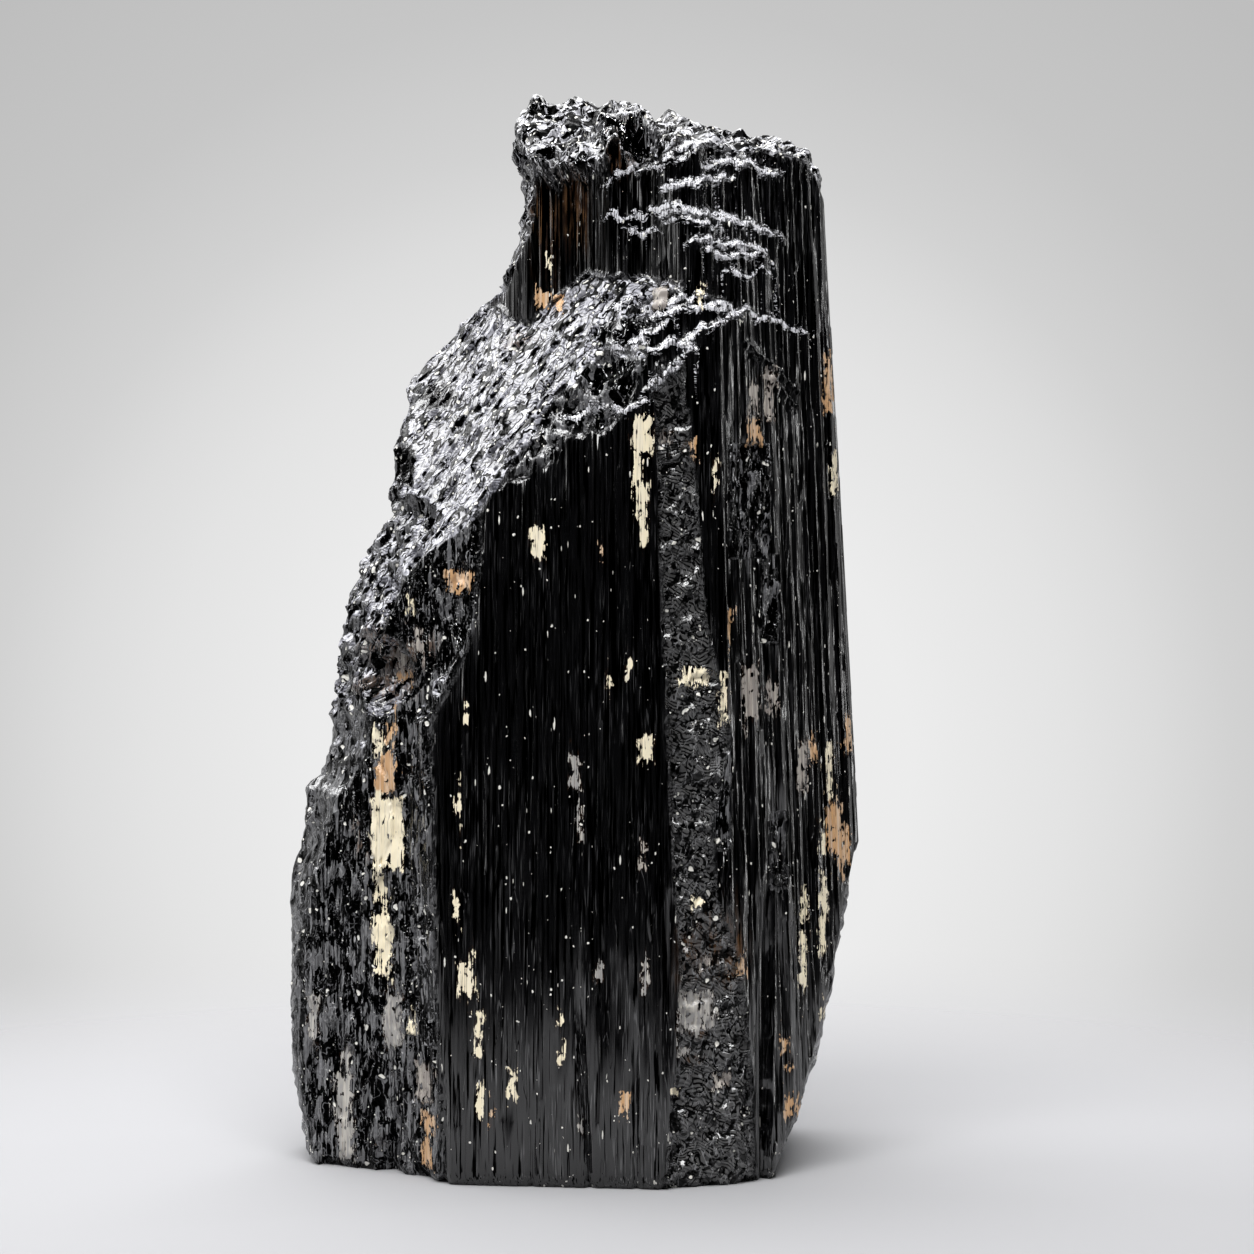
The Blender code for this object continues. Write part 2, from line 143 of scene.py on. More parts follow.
LEDGE_LIT = 1.3  # how far from its middle a ledge's broken edge is raised and carries its painted highlight
# How far apart a ledge's jags lie, how high they are, and how much they differ from the next ledge's.
LEDGE_JAGS = ((7, 1.5, 0.5), (2.4, 1.3, 0.7), (0.9, 0.6, 0.9))

# The rough band down the front, a strip sunk into the prism: (height, left edge, right edge).
BAND = (
    (0, 16.8, 33.6), (16, 18.4, 33), (25, 19.6, 32.4), (41, 19.6, 30.8), (52, 18.6, 26.6), (66, 18, 25.4),
    (73, 17.7, 27.6), (81, 17.5, 29), (88, 17.3, 27.4), (103, 16.3, 24.6), (124, 16, 22.8),
    (146, 15, 20.6),
)
BAND_DEPTH, BAND_TOP_Z = 1.3, (144.0, 150.0)

# The hollow under the lower end of the oblique break: centre and radii.
POCKET_CENTRE, POCKET_RADII = (-37.0, -17.5, 92.5), (9.0, 6.5, 7.5)

# Grooves down the front: (x at the foot, x at the top, lowest z, highest z, half width, depth).
GROOVES = (
    (-33.2, -34.5, -5, 30, 2.6, 3.4),
    (-23, -23, -5, 22, 1.2, 1.2),
    (3.8, 0.8, -5, 44, 1, 1.3),
    (11.9, 11.4, -5, 36, 0.9, 0.9),
    (-7.2, -6.8, -5, 16, 0.7, 0.7),
    (34.6, 36, -5, 60, 1.5, 2.2),
)
FOOT_Z, FOOT_TUCK = 3.0, 1.2  # the foot is worn in below this height, by this much

FRONT_FADE, SIDE_FADE = (4.0, 12.0), (2.0, 8.0)  # how far forward of the middle the front's own forms set in
SEED = 7


# ---- Fine mesh ----
COLUMNS = 1100
SIDE_ROWS, CROWN_ROWS = 340, 150
FRONT_SHARE = 1.7  # how much closer the columns stand on the front than on the back
COARSE_STEP = 6  # the surface is first found on every sixth row and column
KEPT_TRIANGLES = 196000
LOOSE_AWAY = 0.45  # farther than this from an inset the mesh is thinned freely

# ---- Kinds of surface ----
ON_FACE = (-1.0, -0.2)  # the distances from a face over which a point comes to belong to it
UPPER_Z = (146.0, 150.0)  # where the stepped and broken upper part begins
LEFT_UPPER_Z, LEFT_UPPER_X = (72.0, 84.0), (8.0, 14.0)  # the same up the left side, and how far left
LEDGE_TOP_Z = 188.0
SHEET_RIGHT_X, SHEET_TOP_Z = 22.0, 174.0  # where the painted sheen of the oblique sheet ends
UP_FACING = (0.2, 0.34)  # how much a ridge faces up to get the painted sheen

# ---- Relief ----
# Upright ribs, coarse to fine: narrowest, widest, height on the front slab, height elsewhere, lean, and how
# often each steps along its length.
RIBS = (
    (3.4, 9, 0.14, 0.32, 0.7, 0),
    (1.1, 3.2, 0.09, 0.26, 0.9, 38),
    (0.4, 1.1, 0.05, 0.17, 0.7, 16),
)
# Hollows between sharp ridges on broken surfaces: (size, height, height on the oblique break).
SCALLOPS = ((4.6, 1.7, 0.08), (2.4, 0.3, 0.06))
FOLD_SIZE, FOLD_HEIGHT, FOLD_SHEET_HEIGHT = 2.2, 0.24, 0.1
# Flakes on the set-back left face and the band.
FLAKE_SIZES = (3.0, 2.2)
FLAKE_RISE, FLAKE_TILT = 0.55, 0.3
# Steep-sided gouges that run down along the oblique break, rarer in its middle than along its lower edge.
GOUGE_RUN, GOUGE_SIZE, GOUGE_DEPTH = (0.63, 0.0, 0.77), 1.5, 1.5
GOUGE_LEVEL = (0.24, 0.39)
TORN_LOW_Z = (78.0, 92.0)  # below this height the broken side is drawn out upright
# How far the lower edge of the oblique break wanders: (length of a jag, its height).
EDGE_JAGS = ((4, 2.2), (1.6, 1.4))
CHIP_HEIGHT, CHIP_SIZE, CHIP_Z = 0.9, 3.4, (178.0, 192.0)  # chips round the broken top
SPLINTER_HEIGHT, EDGE_HEIGHT = 0.8, 0.35
# Raised edges across the right of the front, each from (x, z) to (x, z).
SPLINTERS = ((31.6, 153, 42.1, 144), (33, 151.2, 39, 147.6), (36.5, 147, 41.5, 141.2))
# Wrinkled patches sunk in the ribs: (x, z, half width, half height).
WRINKLED = ((32.6, 124, 3.7, 10.4), (36.4, 106, 1.6, 8), (27.5, 70, 1.5, 9), (38, 60, 1.4, 7))

# ---- Colours ----
# Pale minerals grown into the front: (x, z, half width, half height).
CREAM = (
    (-34, 62.9, 2.8, 6.4), (-35.3, 68.8, 0.6, 2.3), (-35.8, 54, 0.7, 4), (-35, 45.3, 1.9, 2.2),
    (-34.9, 40, 1.3, 3.7), (-29.3, 104.8, 0.5, 1.6), (-35.8, 79.6, 0.8, 3.1), (-19, 85.3, 0.4, 0.9),
    (-28.9, 28.9, 0.5, 2.6), (-16.7, 27.3, 0.5, 4.2), (-16.5, 15.1, 0.4, 2.8), (-10.8, 18.9, 0.7, 2.9),
    (-20.7, 50.3, 0.4, 1.8), (-20.6, 69, 0.4, 1.3), (-19, 38, 1.2, 2.9), (13, 135.8, 1.6, 3.4),
    (12.1, 129.4, 0.8, 3.3), (12.7, 124.1, 1.1, 3), (13.1, 118.9, 0.6, 2.6), (-5.8, 116.3, 1.3, 2.4),
    (26, 129.2, 0.4, 2.2), (48.7, 128.5, 0.5, 3.3), (27.6, 88, 0.6, 4.3), (22.5, 92.3, 2.6, 1.3),
    (47.9, 73.7, 0.5, 5), (13.4, 79.8, 1.1, 2.1), (7, 91.3, 0.4, 0.9), (10.2, 94.7, 0.5, 0.5),
    (-4.4, 168.2, 0.4, 0.9), (23.3, 160.7, 0.5, 1.4), (43.2, 49.7, 0.4, 3), (42.9, 39.7, 0.5, 4.7),
    (46.5, 47.6, 0.6, 7.5), (46.6, 61.4, 0.3, 2.9), (22.6, 51.6, 0.7, 1.1), (-1.7, 30.8, 0.4, 1.1),
    (-1.8, 23.8, 0.3, 0.7), (47, 28.9, 0.5, 1.1), (18.8, 18.1, 0.4, 0.7),
)
TAN = (
    (-34, 72.9, 1.8, 2.5), (-20.5, 109.3, 2, 1.8), (-30.6, 91.5, 1.2, 0.7), (-33.7, 81.1, 1.2, 1.6),
    (-34, 75.1, 1.8, 2.8), (-32.3, 85.7, 0.3, 0.8), (-26.1, 10.6, 1.1, 2.1), (-26.4, 5.1, 0.8, 2.6),
    (-14.3, 11.9, 0.3, 1.2), (5.4, 115.4, 0.3, 0.9), (22.3, 133.6, 0.6, 1.6), (33.3, 136.5, 1.1, 2.1),
    (47.7, 145.6, 0.7, 5), (44.7, 78.2, 0.3, 2.9), (48.3, 66.1, 0.5, 1.8), (51.8, 79.9, 0.7, 2.9),
    (29, 103.3, 0.4, 1), (-5.6, 161.3, 1.2, 1.4), (-2.5, 160.2, 0.4, 1.2), (48.6, 62.9, 1.4, 4.2),
    (50.5, 59.3, 1.1, 3), (50.2, 56, 0.6, 2.4), (31.2, 39.8, 0.7, 1.3), (9.8, 16, 0.7, 1.8),
    (39.2, 23.9, 0.5, 1.1), (40.1, 19.7, 0.4, 0.5), (40.4, 12.1, 1.1, 1.6),
)
ASH = (
    (-33.2, 28.4, 1.6, 4.7), (-42.3, 5.2, 1.5, 3.6), (-48.8, 27, 0.8, 4.8), (-42.3, 20.3, 0.6, 2),
    (0.7, 75.5, 0.7, 2.8), (1.5, 65.7, 0.4, 2.8), (22.7, 31.9, 3.1, 3.4), (5, 39, 0.7, 1.2),
    (13.4, 38.6, 0.4, 2.4), (20.5, 24.8, 0.9, 0.7), (1.8, 11, 0.3, 0.8), (-42.8, 13, 1.6, 4.1),
)
ROSE = (
    (-27.8, 98.7, 0.7, 2.3), (-30.8, 93.8, 1, 2.7), (-27.1, 17.9, 1.4, 3.3), (17.1, 135.6, 0.8, 0.9),
    (33.5, 142.2, 0.7, 2.4), (36.2, 143.8, 0.7, 4.3), (32.9, 88.9, 1.4, 4.9), (36.9, 88.1, 0.9, 2.3),
    (42.6, 74.8, 0.5, 4.4), (16.1, 160.7, 1.1, 2.1), (13, 60.5, 0.4, 2.5), (24.4, 40.6, 0.8, 0.8),
    (27.6, 19, 1.6, 0.9),
)
STAINS = (
    (-34.6, 89.7, 6.3, 2.3), (-31.7, 97.2, 7.3, 4.8), (-5, 175, 2.6, 7.1), (25.4, 42.6, 6.8, 7),
    (23.4, 28, 2, 1.1), (22.3, 23, 1.6, 1.1), (-38.5, 63.2, 2.1, 5.5), (0.9, 178.9, 2.3, 7.3),
    (9.6, 188.9, 2.8, 5.6), (-9.8, 153.5, 3.7, 1.8),
)
INSETS = (
    (CREAM, (0.93, 0.83, 0.6), 0.3), (TAN, (0.58, 0.33, 0.15), 0.2), (ASH, (0.31, 0.3, 0.29), 0.2),
    (ROSE, (0.27, 0.24, 0.22), 0.2),
)
INSET_REACH = 3.0  # how far out of one the distance from it is still told
INSET_RIGHT_X, INSET_BACK_Y = 30.0, -2.0  # how far back they reach round the right edge, right of that x
NO_TINT = (0.5, 0.5, 0.5, 1.0)
# Painted shade in dark hollows and painted highlight in bright strips of the broken front: (x, z, half width,
# half height, -1 dark to 1 bright).
PAINTED_SHADE_AND_SHEEN = (
    (9, 190.5, 4.5, 5, -1), (10, 146, 6, 4, -1), (-26, 143.5, 4.5, 2.6, -1),
    (-31.5, 131, 1.8, 4.5, -1), (11, 154.5, 7, 2.4, -0.6), (-26, 114, 7.5, 4, 1),
    (-33.5, 104, 4, 7, 1), (-3, 195, 6, 3.5, 1),
)

# The rock's colours.
# The black of the hollows is painted shade: it throws back no light.
JET, SHADE_BLACK, RIM = (0.001, 0.001, 0.0013, 1), (0.001, 0.001, 0.001, 1), (0.004, 0.004, 0.004, 1)
# Hairs low down are paler, a painted reflection of the floor.
LOW_HAIR_FLOOR_REFLECTION, HIGH_HAIR, ROUGH_HAIR = (0.105, 0.105, 0.108, 1), (0.04, 0.04, 0.042, 1), (0.2, 0.2, 0.205, 1)
DARK_SLATE, SLATE = (0.002, 0.002, 0.003, 1), (0.15, 0.15, 0.158, 1)
DARK_LEATHER, LEATHER = (0.002, 0.002, 0.002, 1), (0.095, 0.094, 0.094, 1)
# Silvery foil: a painted sheen on the broken sheet and ridges, lighter at the crown as a painted highlight.
DARK_FOIL_SHEEN, FOIL_SHEEN = (0.065, 0.065, 0.078, 1), (0.24, 0.24, 0.275, 1)
PALE_FOIL_SHEEN, CROWN_FOIL_HIGHLIGHT = (0.37, 0.37, 0.41, 1), (0.55, 0.55, 0.58, 1)
# Grey wrinkle lines: a painted highlight along the wrinkles, brighter at the crown.
WRINKLE_HIGHLIGHT, CROWN_WRINKLE_HIGHLIGHT = (0.16, 0.16, 0.165, 1), (0.6, 0.6, 0.63, 1)
# The ledges' colours: a painted highlight along their broken edges.
DIM_LEDGE_HIGHLIGHT, BRIGHT_LEDGE_HIGHLIGHT = (0.1, 0.1, 0.11, 1), (0.7, 0.7, 0.74, 1)
DARK_BROWN, BROWN, RUST = (0.035, 0.014, 0.005, 1), (0.17, 0.085, 0.036, 1), (0.035, 0.016, 0.007, 1)
# White: partly pale grains, partly painted glints.
WHITE_GRAIN_AND_GLINT, CLOUD, CRACK = (0.8, 0.78, 0.72, 1), (0.92, 0.86, 0.74, 1), (0.1, 0.06, 0.035, 1)
# Where the colours change, in metres: above the striated foot, up at the crown, and left of the valley.
# Left of the valley, on the recessed wall, the painted shade between the ribs is deeper.
# Low down the hairs are paler, a painted reflection of the floor, and fewer rib hollows are painted black.
# Up at the crown the foil and wrinkle colours brighten as painted highlight.
ABOVE_FOOT, AT_CROWN, LEFT_OF_VALLEY = (0.022, 0.06), (0.16, 0.168), (0.01, 0.02)

# ---- Studio, in metres ----
CAMERA_AIM, CAMERA_AWAY, CAMERA_DOWN = Vector((0.00998, -0.00255, 0.09984)), 0.7179, 2.5
FLOOR_COLOR = (0.33, 0.33, 0.34, 1.0)
FADE_SEEN, FADE_MIRRORED = (0.09, 0.32), (0.1, 0.42)  # the distances over which the floor fades out
# The backdrop's glow: its direction, what scales a distance from it onto a ramp, and (distance, brightness).
GLOW_WAY, GLOW_SCALE = (-0.004, 0.997, -0.078), 4.0
GLOW = ((0.078, 0.84), (0.119, 0.77), (0.14, 0.716), (0.16, 0.645), (0.196, 0.565), (0.248, 0.515))
ROOM = (-0.05, 0.75, 0.012, 0.55)  # where the mirrored room brightens, from front to back, and its levels
LIT_POINT = Vector((0.0, 0.0, 0.1))
# Soft lights: (name, distance, azimuth, elevation, width, height, radiance).
LIGHTS = (
    ("front", 0.9, -97, 58, 0.75, 0.5, 11),
    ("top", 0.9, 90, 87, 0.55, 0.45, 5.5),
    ("left", 0.9, 154.7, 36, 0.55, 0.45, 6),
    ("side", 0.9, -165, 12, 0.14, 0.8, 3),
    ("back", 0.9, 95, 44, 0.9, 0.65, 4),
    ("right", 0.9, 18, 15, 0.05, 0.9, 7),
)


def unit(azimuth):
    """The direction in plan that a facet faces, from its angle in degrees."""
    return math.cos(math.radians(azimuth)), math.sin(math.radians(azimuth))


def facet(x, y, z, azimuth, reach, lean):
    """Distance outside an upright facet."""
    nx, ny = unit(azimuth)
    return nx * x + ny * y - reach + lean * z


def table(value, rows, column=1):
    """A profile read between its listed points."""
    return np.interp(value, [row[0] for row in rows], [row[column] for row in rows])


def ramp(value, low, high):
    """0 below low, 1 above high, smooth between."""
    t = np.clip((value - low) / (high - low), 0, 1)
    return t * t * (3 - 2 * t)


class Lattice:
    """Gradient noise from -1 to 1 with one feature a unit, the same on each run."""

    def __init__(self, seed):
        chance = np.random.default_rng(seed)
        self.order = np.tile(chance.permutation(256), 2)
        way = chance.normal(size=(256, 3))
        self.way = way / np.linalg.norm(way, axis=1, keepdims=True)

    def __call__(self, x, y, z):
        x, y, z = np.broadcast_arrays(x, y, z)
        cell = [np.floor(c).astype(int) for c in (x, y, z)]
        part = [c - f for c, f in zip((x, y, z), cell)]
        fade = [t * t * t * (t * (t * 6 - 15) + 10) for t in part]
        total = np.zeros(np.shape(x))
        for corner in range(8):
            step = (corner & 1, corner >> 1 & 1, corner >> 2)
            index = 0
            for c, s in zip(cell, step):
                index = self.order[(index + c + s) & 255]
            way = self.way[index]
            slope = sum(way[..., k] * (part[k] - step[k]) for k in range(3))
            weight = 1
            for k in range(3):
                weight = weight * (fade[k] if step[k] else 1 - fade[k])
            total += weight * slope
        return 1.6 * total


noise = Lattice(SEED)


def across_band(x, z, low, high):
    """1 between the edges of the sunken band, falling to 0 across them."""
    return ramp(x - table(z, BAND), low, high) * ramp(table(z, BAND, 2) - x, low, high)


def prism(x, y, z):
    """The striated prism, with its front slab, set-back left face, grooves and sunken band."""
    value = np.full(np.shape(x), -1e9)
    for row in FACETS:
        value = np.maximum(value, facet(x, y, z, *row))
    slab_side = facet(x, y, z, SLAB_SIDE_WAY, 0, 0) - table(z, SLAB_SIDE)
    value = np.maximum(value, np.minimum(facet(x, y, z, *LEFT_FRONT), slab_side))
    value += FOOT_TUCK * (1 - np.clip(z / FOOT_Z, 0, 1)) ** 2
    front = ramp(-y, *FRONT_FADE)
    for foot_x, top_x, low, high, half_width, depth in GROOVES:
        share = np.clip((z - low) / (high - low), 0, 1)
        centre = foot_x + (top_x - foot_x) * share
        fade = 1 - ramp(z, 0.6 * high, high)
        value += front * fade * depth * np.clip(1 - np.abs(x - centre) / half_width, 0, 1)
    return value + BAND_DEPTH * front * across_band(x, z, 0, 0.5) * (1 - ramp(z, *BAND_TOP_Z))


def left_break(x, y, z):
    """The long broken left side, which turns away to the front and the back."""
    behind = y - LEFT_TURN_Y
    turn = LEFT_TURN_FRONT * np.maximum(-behind, 0) + LEFT_TURN_BACK * np.maximum(behind, 0)
    turn *= 1 + (LEFT_HIGH_TURN - 1) * ramp(z, *LEFT_HIGH_Z)
    turn *= LEFT_LOW_TURN + (1 - LEFT_LOW_TURN) * ramp(z, *LEFT_LOW_Z)
    return 0.9 * (-x + turn - table(z, LEFT_BREAK))


def low_right_break(x, y, z):
    """Outside the chamfer broken from the lower right."""
    return 0.9 * (x + LOW_RIGHT_TURN * np.abs(y) - table(z, LOW_RIGHT_BREAK))


def oblique_break(x, y, z):
    """Above the oblique break, which climbs to the right and to the back, steeply at first."""
    depth = y - BREAK_FRONT_Y
    sheet = np.minimum(table(x, SHEET) + SHEET_CLIMB * depth, BREAK_TOP_Z + 0.25 * (y - 10))
    jag = sum(high * noise(x / apart, 0.3, z / 9) for apart, high in EDGE_JAGS)
    edge = table(x, EDGE) + jag + EDGE_CLIMB * depth
    return np.maximum(SHEET_SHARE * (z - sheet), EDGE_SHARE * (z - edge))


def wall(x, y, z):
    """In front of the recessed wall, which the head overhangs."""
    head = ramp(z, HEAD_FOOT_Z, HEAD_LIP_Z) * (1 - ramp(x, 2, HEAD_RIGHT_X + 4))
    return 0.8 * (table(x, WALL) - y) - HEAD_BULGE * head


def jagged_line(number):
    """How far a ledge wanders up and down along its length, as a profile across the crystal."""
    across = np.linspace(-10.0, 60.0, 351)
    rise = 0
    for apart, high, own in LEDGE_JAGS:
        rise = rise + high * noise(across / apart, own * number + 0.4, 5.1 * apart)
    return np.stack([across, rise], 1)


JAGGED_LINES = [jagged_line(number) for number in range(len(LEDGES))]


def ledge_lines(across):
    """For each ledge in turn: its height, its set-back, and how much of it there is, from 0 to 1."""
    for (low, high_end, depth, left, right), jags in zip(LEDGES, JAGGED_LINES):
        line = low + (high_end - low) * (across - left) / (right - left) + np.interp(across, *jags.T)
        yield line, depth, ramp(across, left - 2, left + 2) * ramp(right - across, -4, 2)


def ledges(x, y, z):
    """The face that steps back up the front, one ledge after another."""
    setback = np.zeros(np.shape(z))
    high = z > LEDGE_FOOT_Z
    total = np.zeros(np.count_nonzero(high))
    for line, depth, reach in ledge_lines(x[high]):
        total += depth * reach * ramp(z[high], line, line + LEDGE_SLOPE_Z)
    setback[high] = total
    return np.maximum(*(facet(x, y, z, *face) for face in LEDGE_FACES)) + setback


def ledge_edges(x, z):
    """1 along the middle of each ledge's broken edge, 0 and less away from it: where the edge is raised and
    its highlight painted.
    """
    edges = np.zeros(np.shape(z))
    high = z > LEDGE_FOOT_Z
    near = np.zeros(np.count_nonzero(high))
    for line, depth, reach in ledge_lines(x[high]):
        away = np.abs(z[high] - line - 0.5 * LEDGE_SLOPE_Z) / (LEDGE_LIT * (0.4 + 0.6 * depth))
        near = np.maximum(near, reach - away)
    edges[high] = near
    return edges


def on_ledges(x, y, z, share=1):
    """That share on the stepped faces of the upper part, 0 away from them."""
    return share * ramp(ledges(x, y, z), -1, -0.3) * ramp(z, *UPPER_Z)


def off_head(x, z):
    """0 on the head that overhangs the wall, 1 away from it."""
    return 1 - ramp(z, HEAD_FOOT_Z - 2, HEAD_FOOT_Z) * ramp(HEAD_RIGHT_X - x, -2, 2)


def top(x, y, z):
    """Above the broken top, with the valley between the head and the right side."""
    front_fall = HEAD_FALL + (RIGHT_FALL - HEAD_FALL) * ramp(x, HEAD_RIGHT_X - 3, HEAD_RIGHT_X + 5)
    height = table(x, CREST) - front_fall * np.maximum(CREST_Y - y, 0)
    height -= BACK_FALL * np.maximum(y - CREST_BACK_Y, 0)
    side = np.maximum(VALLEY_LEFT * (VALLEY_X - x), VALLEY_RIGHT * (x - VALLEY_X))
    valley = 0.5 * np.minimum(z - VALLEY_Z - side, VALLEY_BACK_Y - y)
    return np.maximum(0.8 * (z - height), valley)


def pocket(x, y, z):
    """Inside the hollow under the lower end of the oblique break, as a negative distance."""
    scaled = sum(((c - m) / r) ** 2 for c, m, r in zip((x, y, z), POCKET_CENTRE, POCKET_RADII))
    return (np.sqrt(scaled) - 1) * min(POCKET_RADII)


def crystal(x, y, z):
    """Distance outside the crystal before its relief, negative inside."""
    value = np.maximum(np.minimum(oblique_break(x, y, z), wall(x, y, z)), -pocket(x, y, z))
    for outside in (prism, left_break, low_right_break, ledges, top):
        value = np.maximum(value, outside(x, y, z))
    return value


def slab_left(z):
    """How far to the right the front slab begins."""
    nx, ny = unit(SLAB_SIDE_WAY)
    return (table(z, SLAB_SIDE) - ny * SLAB_FRONT_Y) / nx


def cell_values(i, j, k, seed):
    """Four values from 0 to 1 for each whole cell, the same on each run."""
    h = (i * 73856093) ^ (j * 19349663) ^ (k * 83492791) ^ (seed * 2654435761)
    values = []
    for _ in range(4):
        h = (h ^ (h >> 15)) * 2246822519 & 0xFFFFFFFF
        h = (h ^ (h >> 13)) * 3266489917 & 0xFFFFFFFF
        h = h ^ (h >> 16)
        values.append((h & 0xFFFF) / 65535)
    return values


def cells(points, size, seed):
    """The nearest of points strewn one a size: its distance, its value, and its tilted plane's height."""
    p = points / size
    whole = np.floor(p).astype(np.int64)
    best, level, tilt = np.full(len(p), 9.0), np.zeros(len(p)), np.zeros(len(p))
    for i in (-1, 0, 1):
        for j in (-1, 0, 1):
            for k in (-1, 0, 1):
                cell = whole + (i, j, k)
                a, b, c, d = cell_values(*cell.T, seed)
                spot = np.stack([a, b, c], 1)
                apart = p - cell - spot
                away = (apart ** 2).sum(axis=1) + 0.35 * d
                nearer = away < best
                plane = (apart * (2 * spot - 1)).sum(axis=1)
                best, level = np.where(nearer, away, best), np.where(nearer, d, level)
                tilt = np.where(nearer, plane, tilt)
    return best, level, tilt


def fine_rays(turn, row):
    """Where each ray starts and which way it points: level up the sides, fanned over the crown."""
    side = np.clip(row / SIDE_ROWS, 0, 1)
    lift = 0.5 * math.pi * np.clip((row - SIDE_ROWS) / CROWN_ROWS, 0, 1)
    start = np.stack([np.full(row.shape, AXIS_X), np.full(row.shape, AXIS_Y), side * CROWN_Z], -1)
    way = np.stack([np.cos(turn) * np.cos(lift), np.sin(turn) * np.cos(lift), np.sin(lift)], -1)
    return start, way


def reach_surface(start, way, far, steps, pace):
    """How far along each ray the surface lies."""
    for _ in range(steps):
        gap = crystal(*np.moveaxis(start + far[..., None] * way, -1, 0))
        far = np.maximum(far - pace * gap, 1)
    return far


def column_turns():
    """The angle about the axis of each mesh column, and how far round the prism it stands."""
    turn = np.radians(np.arange(0.0, 360.5, 0.5))
    start, way = fine_rays(turn, np.full(turn.shape, 0.35 * SIDE_ROWS))
    outline = start + reach_surface(start, way, np.full(turn.shape, OUTSIDE), 90, 0.55)[:, None] * way
    step = np.linalg.norm(np.diff(outline, axis=0), axis=1)
    around = np.concatenate([[0], np.cumsum(step)])
    middle = 0.5 * (outline[1:, 1] + outline[:-1, 1])
    weighed = np.concatenate([[0], np.cumsum(step * (1 + (FRONT_SHARE - 1) * ramp(-middle, -4, 4)))])
    at = np.interp(np.arange(COLUMNS) * weighed[-1] / COLUMNS, weighed, np.arange(len(weighed)))
    return np.interp(at, np.arange(len(turn)), turn), np.interp(at, np.arange(len(turn)), around)


def spread(coarse, rows, row, columns, column):
    """Values found on every few rows and columns, read between them on the full grid."""
    across = np.empty((len(rows), len(column)))
    closed = np.append(columns, COLUMNS)
    for k, line in enumerate(coarse):
        across[k] = np.interp(column, closed, np.append(line, line[0]))
    full = np.empty((len(row), len(column)))
    for k in range(len(column)):
        full[:, k] = np.interp(row, rows, across[:, k])
    return full


def base_form():
    """The crystal before its relief, as a grid of points in rows and columns, and the way round of each."""
    turn, around = column_turns()
    row = np.arange(SIDE_ROWS + CROWN_ROWS + 1.0)
    rows = np.append(row[:-1:COARSE_STEP], row[-1])
    columns = np.arange(0, COLUMNS, COARSE_STEP)
    start, way = fine_rays(turn[None, columns], np.repeat(rows[:, None], len(columns), 1))
    coarse = reach_surface(start, way, np.full(way.shape[:-1], OUTSIDE), 80, 0.55)
    far = spread(coarse, rows, row, columns, np.arange(COLUMNS))
    start, way = fine_rays(turn[None, :], np.repeat(row[:, None], COLUMNS, 1))
    far = reach_surface(start, way, far + 0.5, 14, 0.6)
    return start + far[..., None] * way, around


def grid_normals(place):
    """Unit normals of a closed grid of points, row by row."""
    along = np.roll(place, -1, 1) - np.roll(place, 1, 1)
    up = np.empty_like(place)
    up[1:-1] = place[2:] - place[:-2]
    up[0], up[-1] = place[1] - place[0], place[-1] - place[-2]
    way = np.cross(along, up)
    way[-1] = (0, 0, 1)
    return way / np.maximum(np.linalg.norm(way, axis=-1, keepdims=True), 1e-9)


def blurred(values, passes):
    """A grid of values averaged with its neighbours, closed round the crystal."""
    for _ in range(passes):
        values = 0.5 * values + 0.25 * (np.roll(values, 1, 1) + np.roll(values, -1, 1))
        middle = 0.5 * values[1:-1] + 0.25 * (values[2:] + values[:-2])
        values = np.concatenate([values[:1], middle, values[-1:]])
    return values


def within(x, z, at_x, at_z, half_width, half_height):
    """How far inside an upright box each point lies."""
    return np.minimum(half_width - np.abs(x - at_x), half_height - np.abs(z - at_z))


def oval(x, z, at_x, at_z, half_width, half_height):
    """How far out of an upright oval's middle each point lies, 1 on its rim."""
    return np.hypot((x - at_x) / half_width, (z - at_z) / half_height)


def masks(x, y, z, normal):
    """The kinds of surface, from 0 to 1: broken, the oblique sheet, the sunken band, the rough left face."""
    shape = prism(x, y, z)
    ribbed = ramp(np.maximum(shape, ledges(x, y, z)), *ON_FACE)
    set_back = ramp(slab_left(z) - x, -0.5, 1) * ramp(-y, *SIDE_FADE)
    on_wall = ramp(wall(x, y, z), *ON_FACE) * ramp(oblique_break(x, y, z), 0, 1)
    on_wall *= off_head(x, z)
    broken = 1 - np.maximum(ribbed, on_wall)
    broken = np.maximum(broken, ramp(normal[..., 2], 0.25, 0.5))
    sheet = ramp(SHEET_SHARE * (z - table(x, SHEET) - SHEET_CLIMB * (y - BREAK_FRONT_Y)), -1.5, -0.3)
    sheet = sheet * ramp(normal[..., 2], 0.15, 0.35)
    sheet = sheet * ramp(SHEET_RIGHT_X - x, 0, 2) * ramp(SHEET_TOP_Z - z, 0, 3)
    front = ramp(-y, *FRONT_FADE)
    band = across_band(x, z, -0.2, 0.3) * front * (1 - ramp(z, *BAND_TOP_Z))
    patch = np.zeros(np.shape(x))
    for row in WRINKLED:
        patch = np.maximum(patch, ramp(within(x, z, *row), -0.2, 0.3))
    rough = np.maximum(set_back, patch * front) * ribbed
    return broken, sheet, band, rough


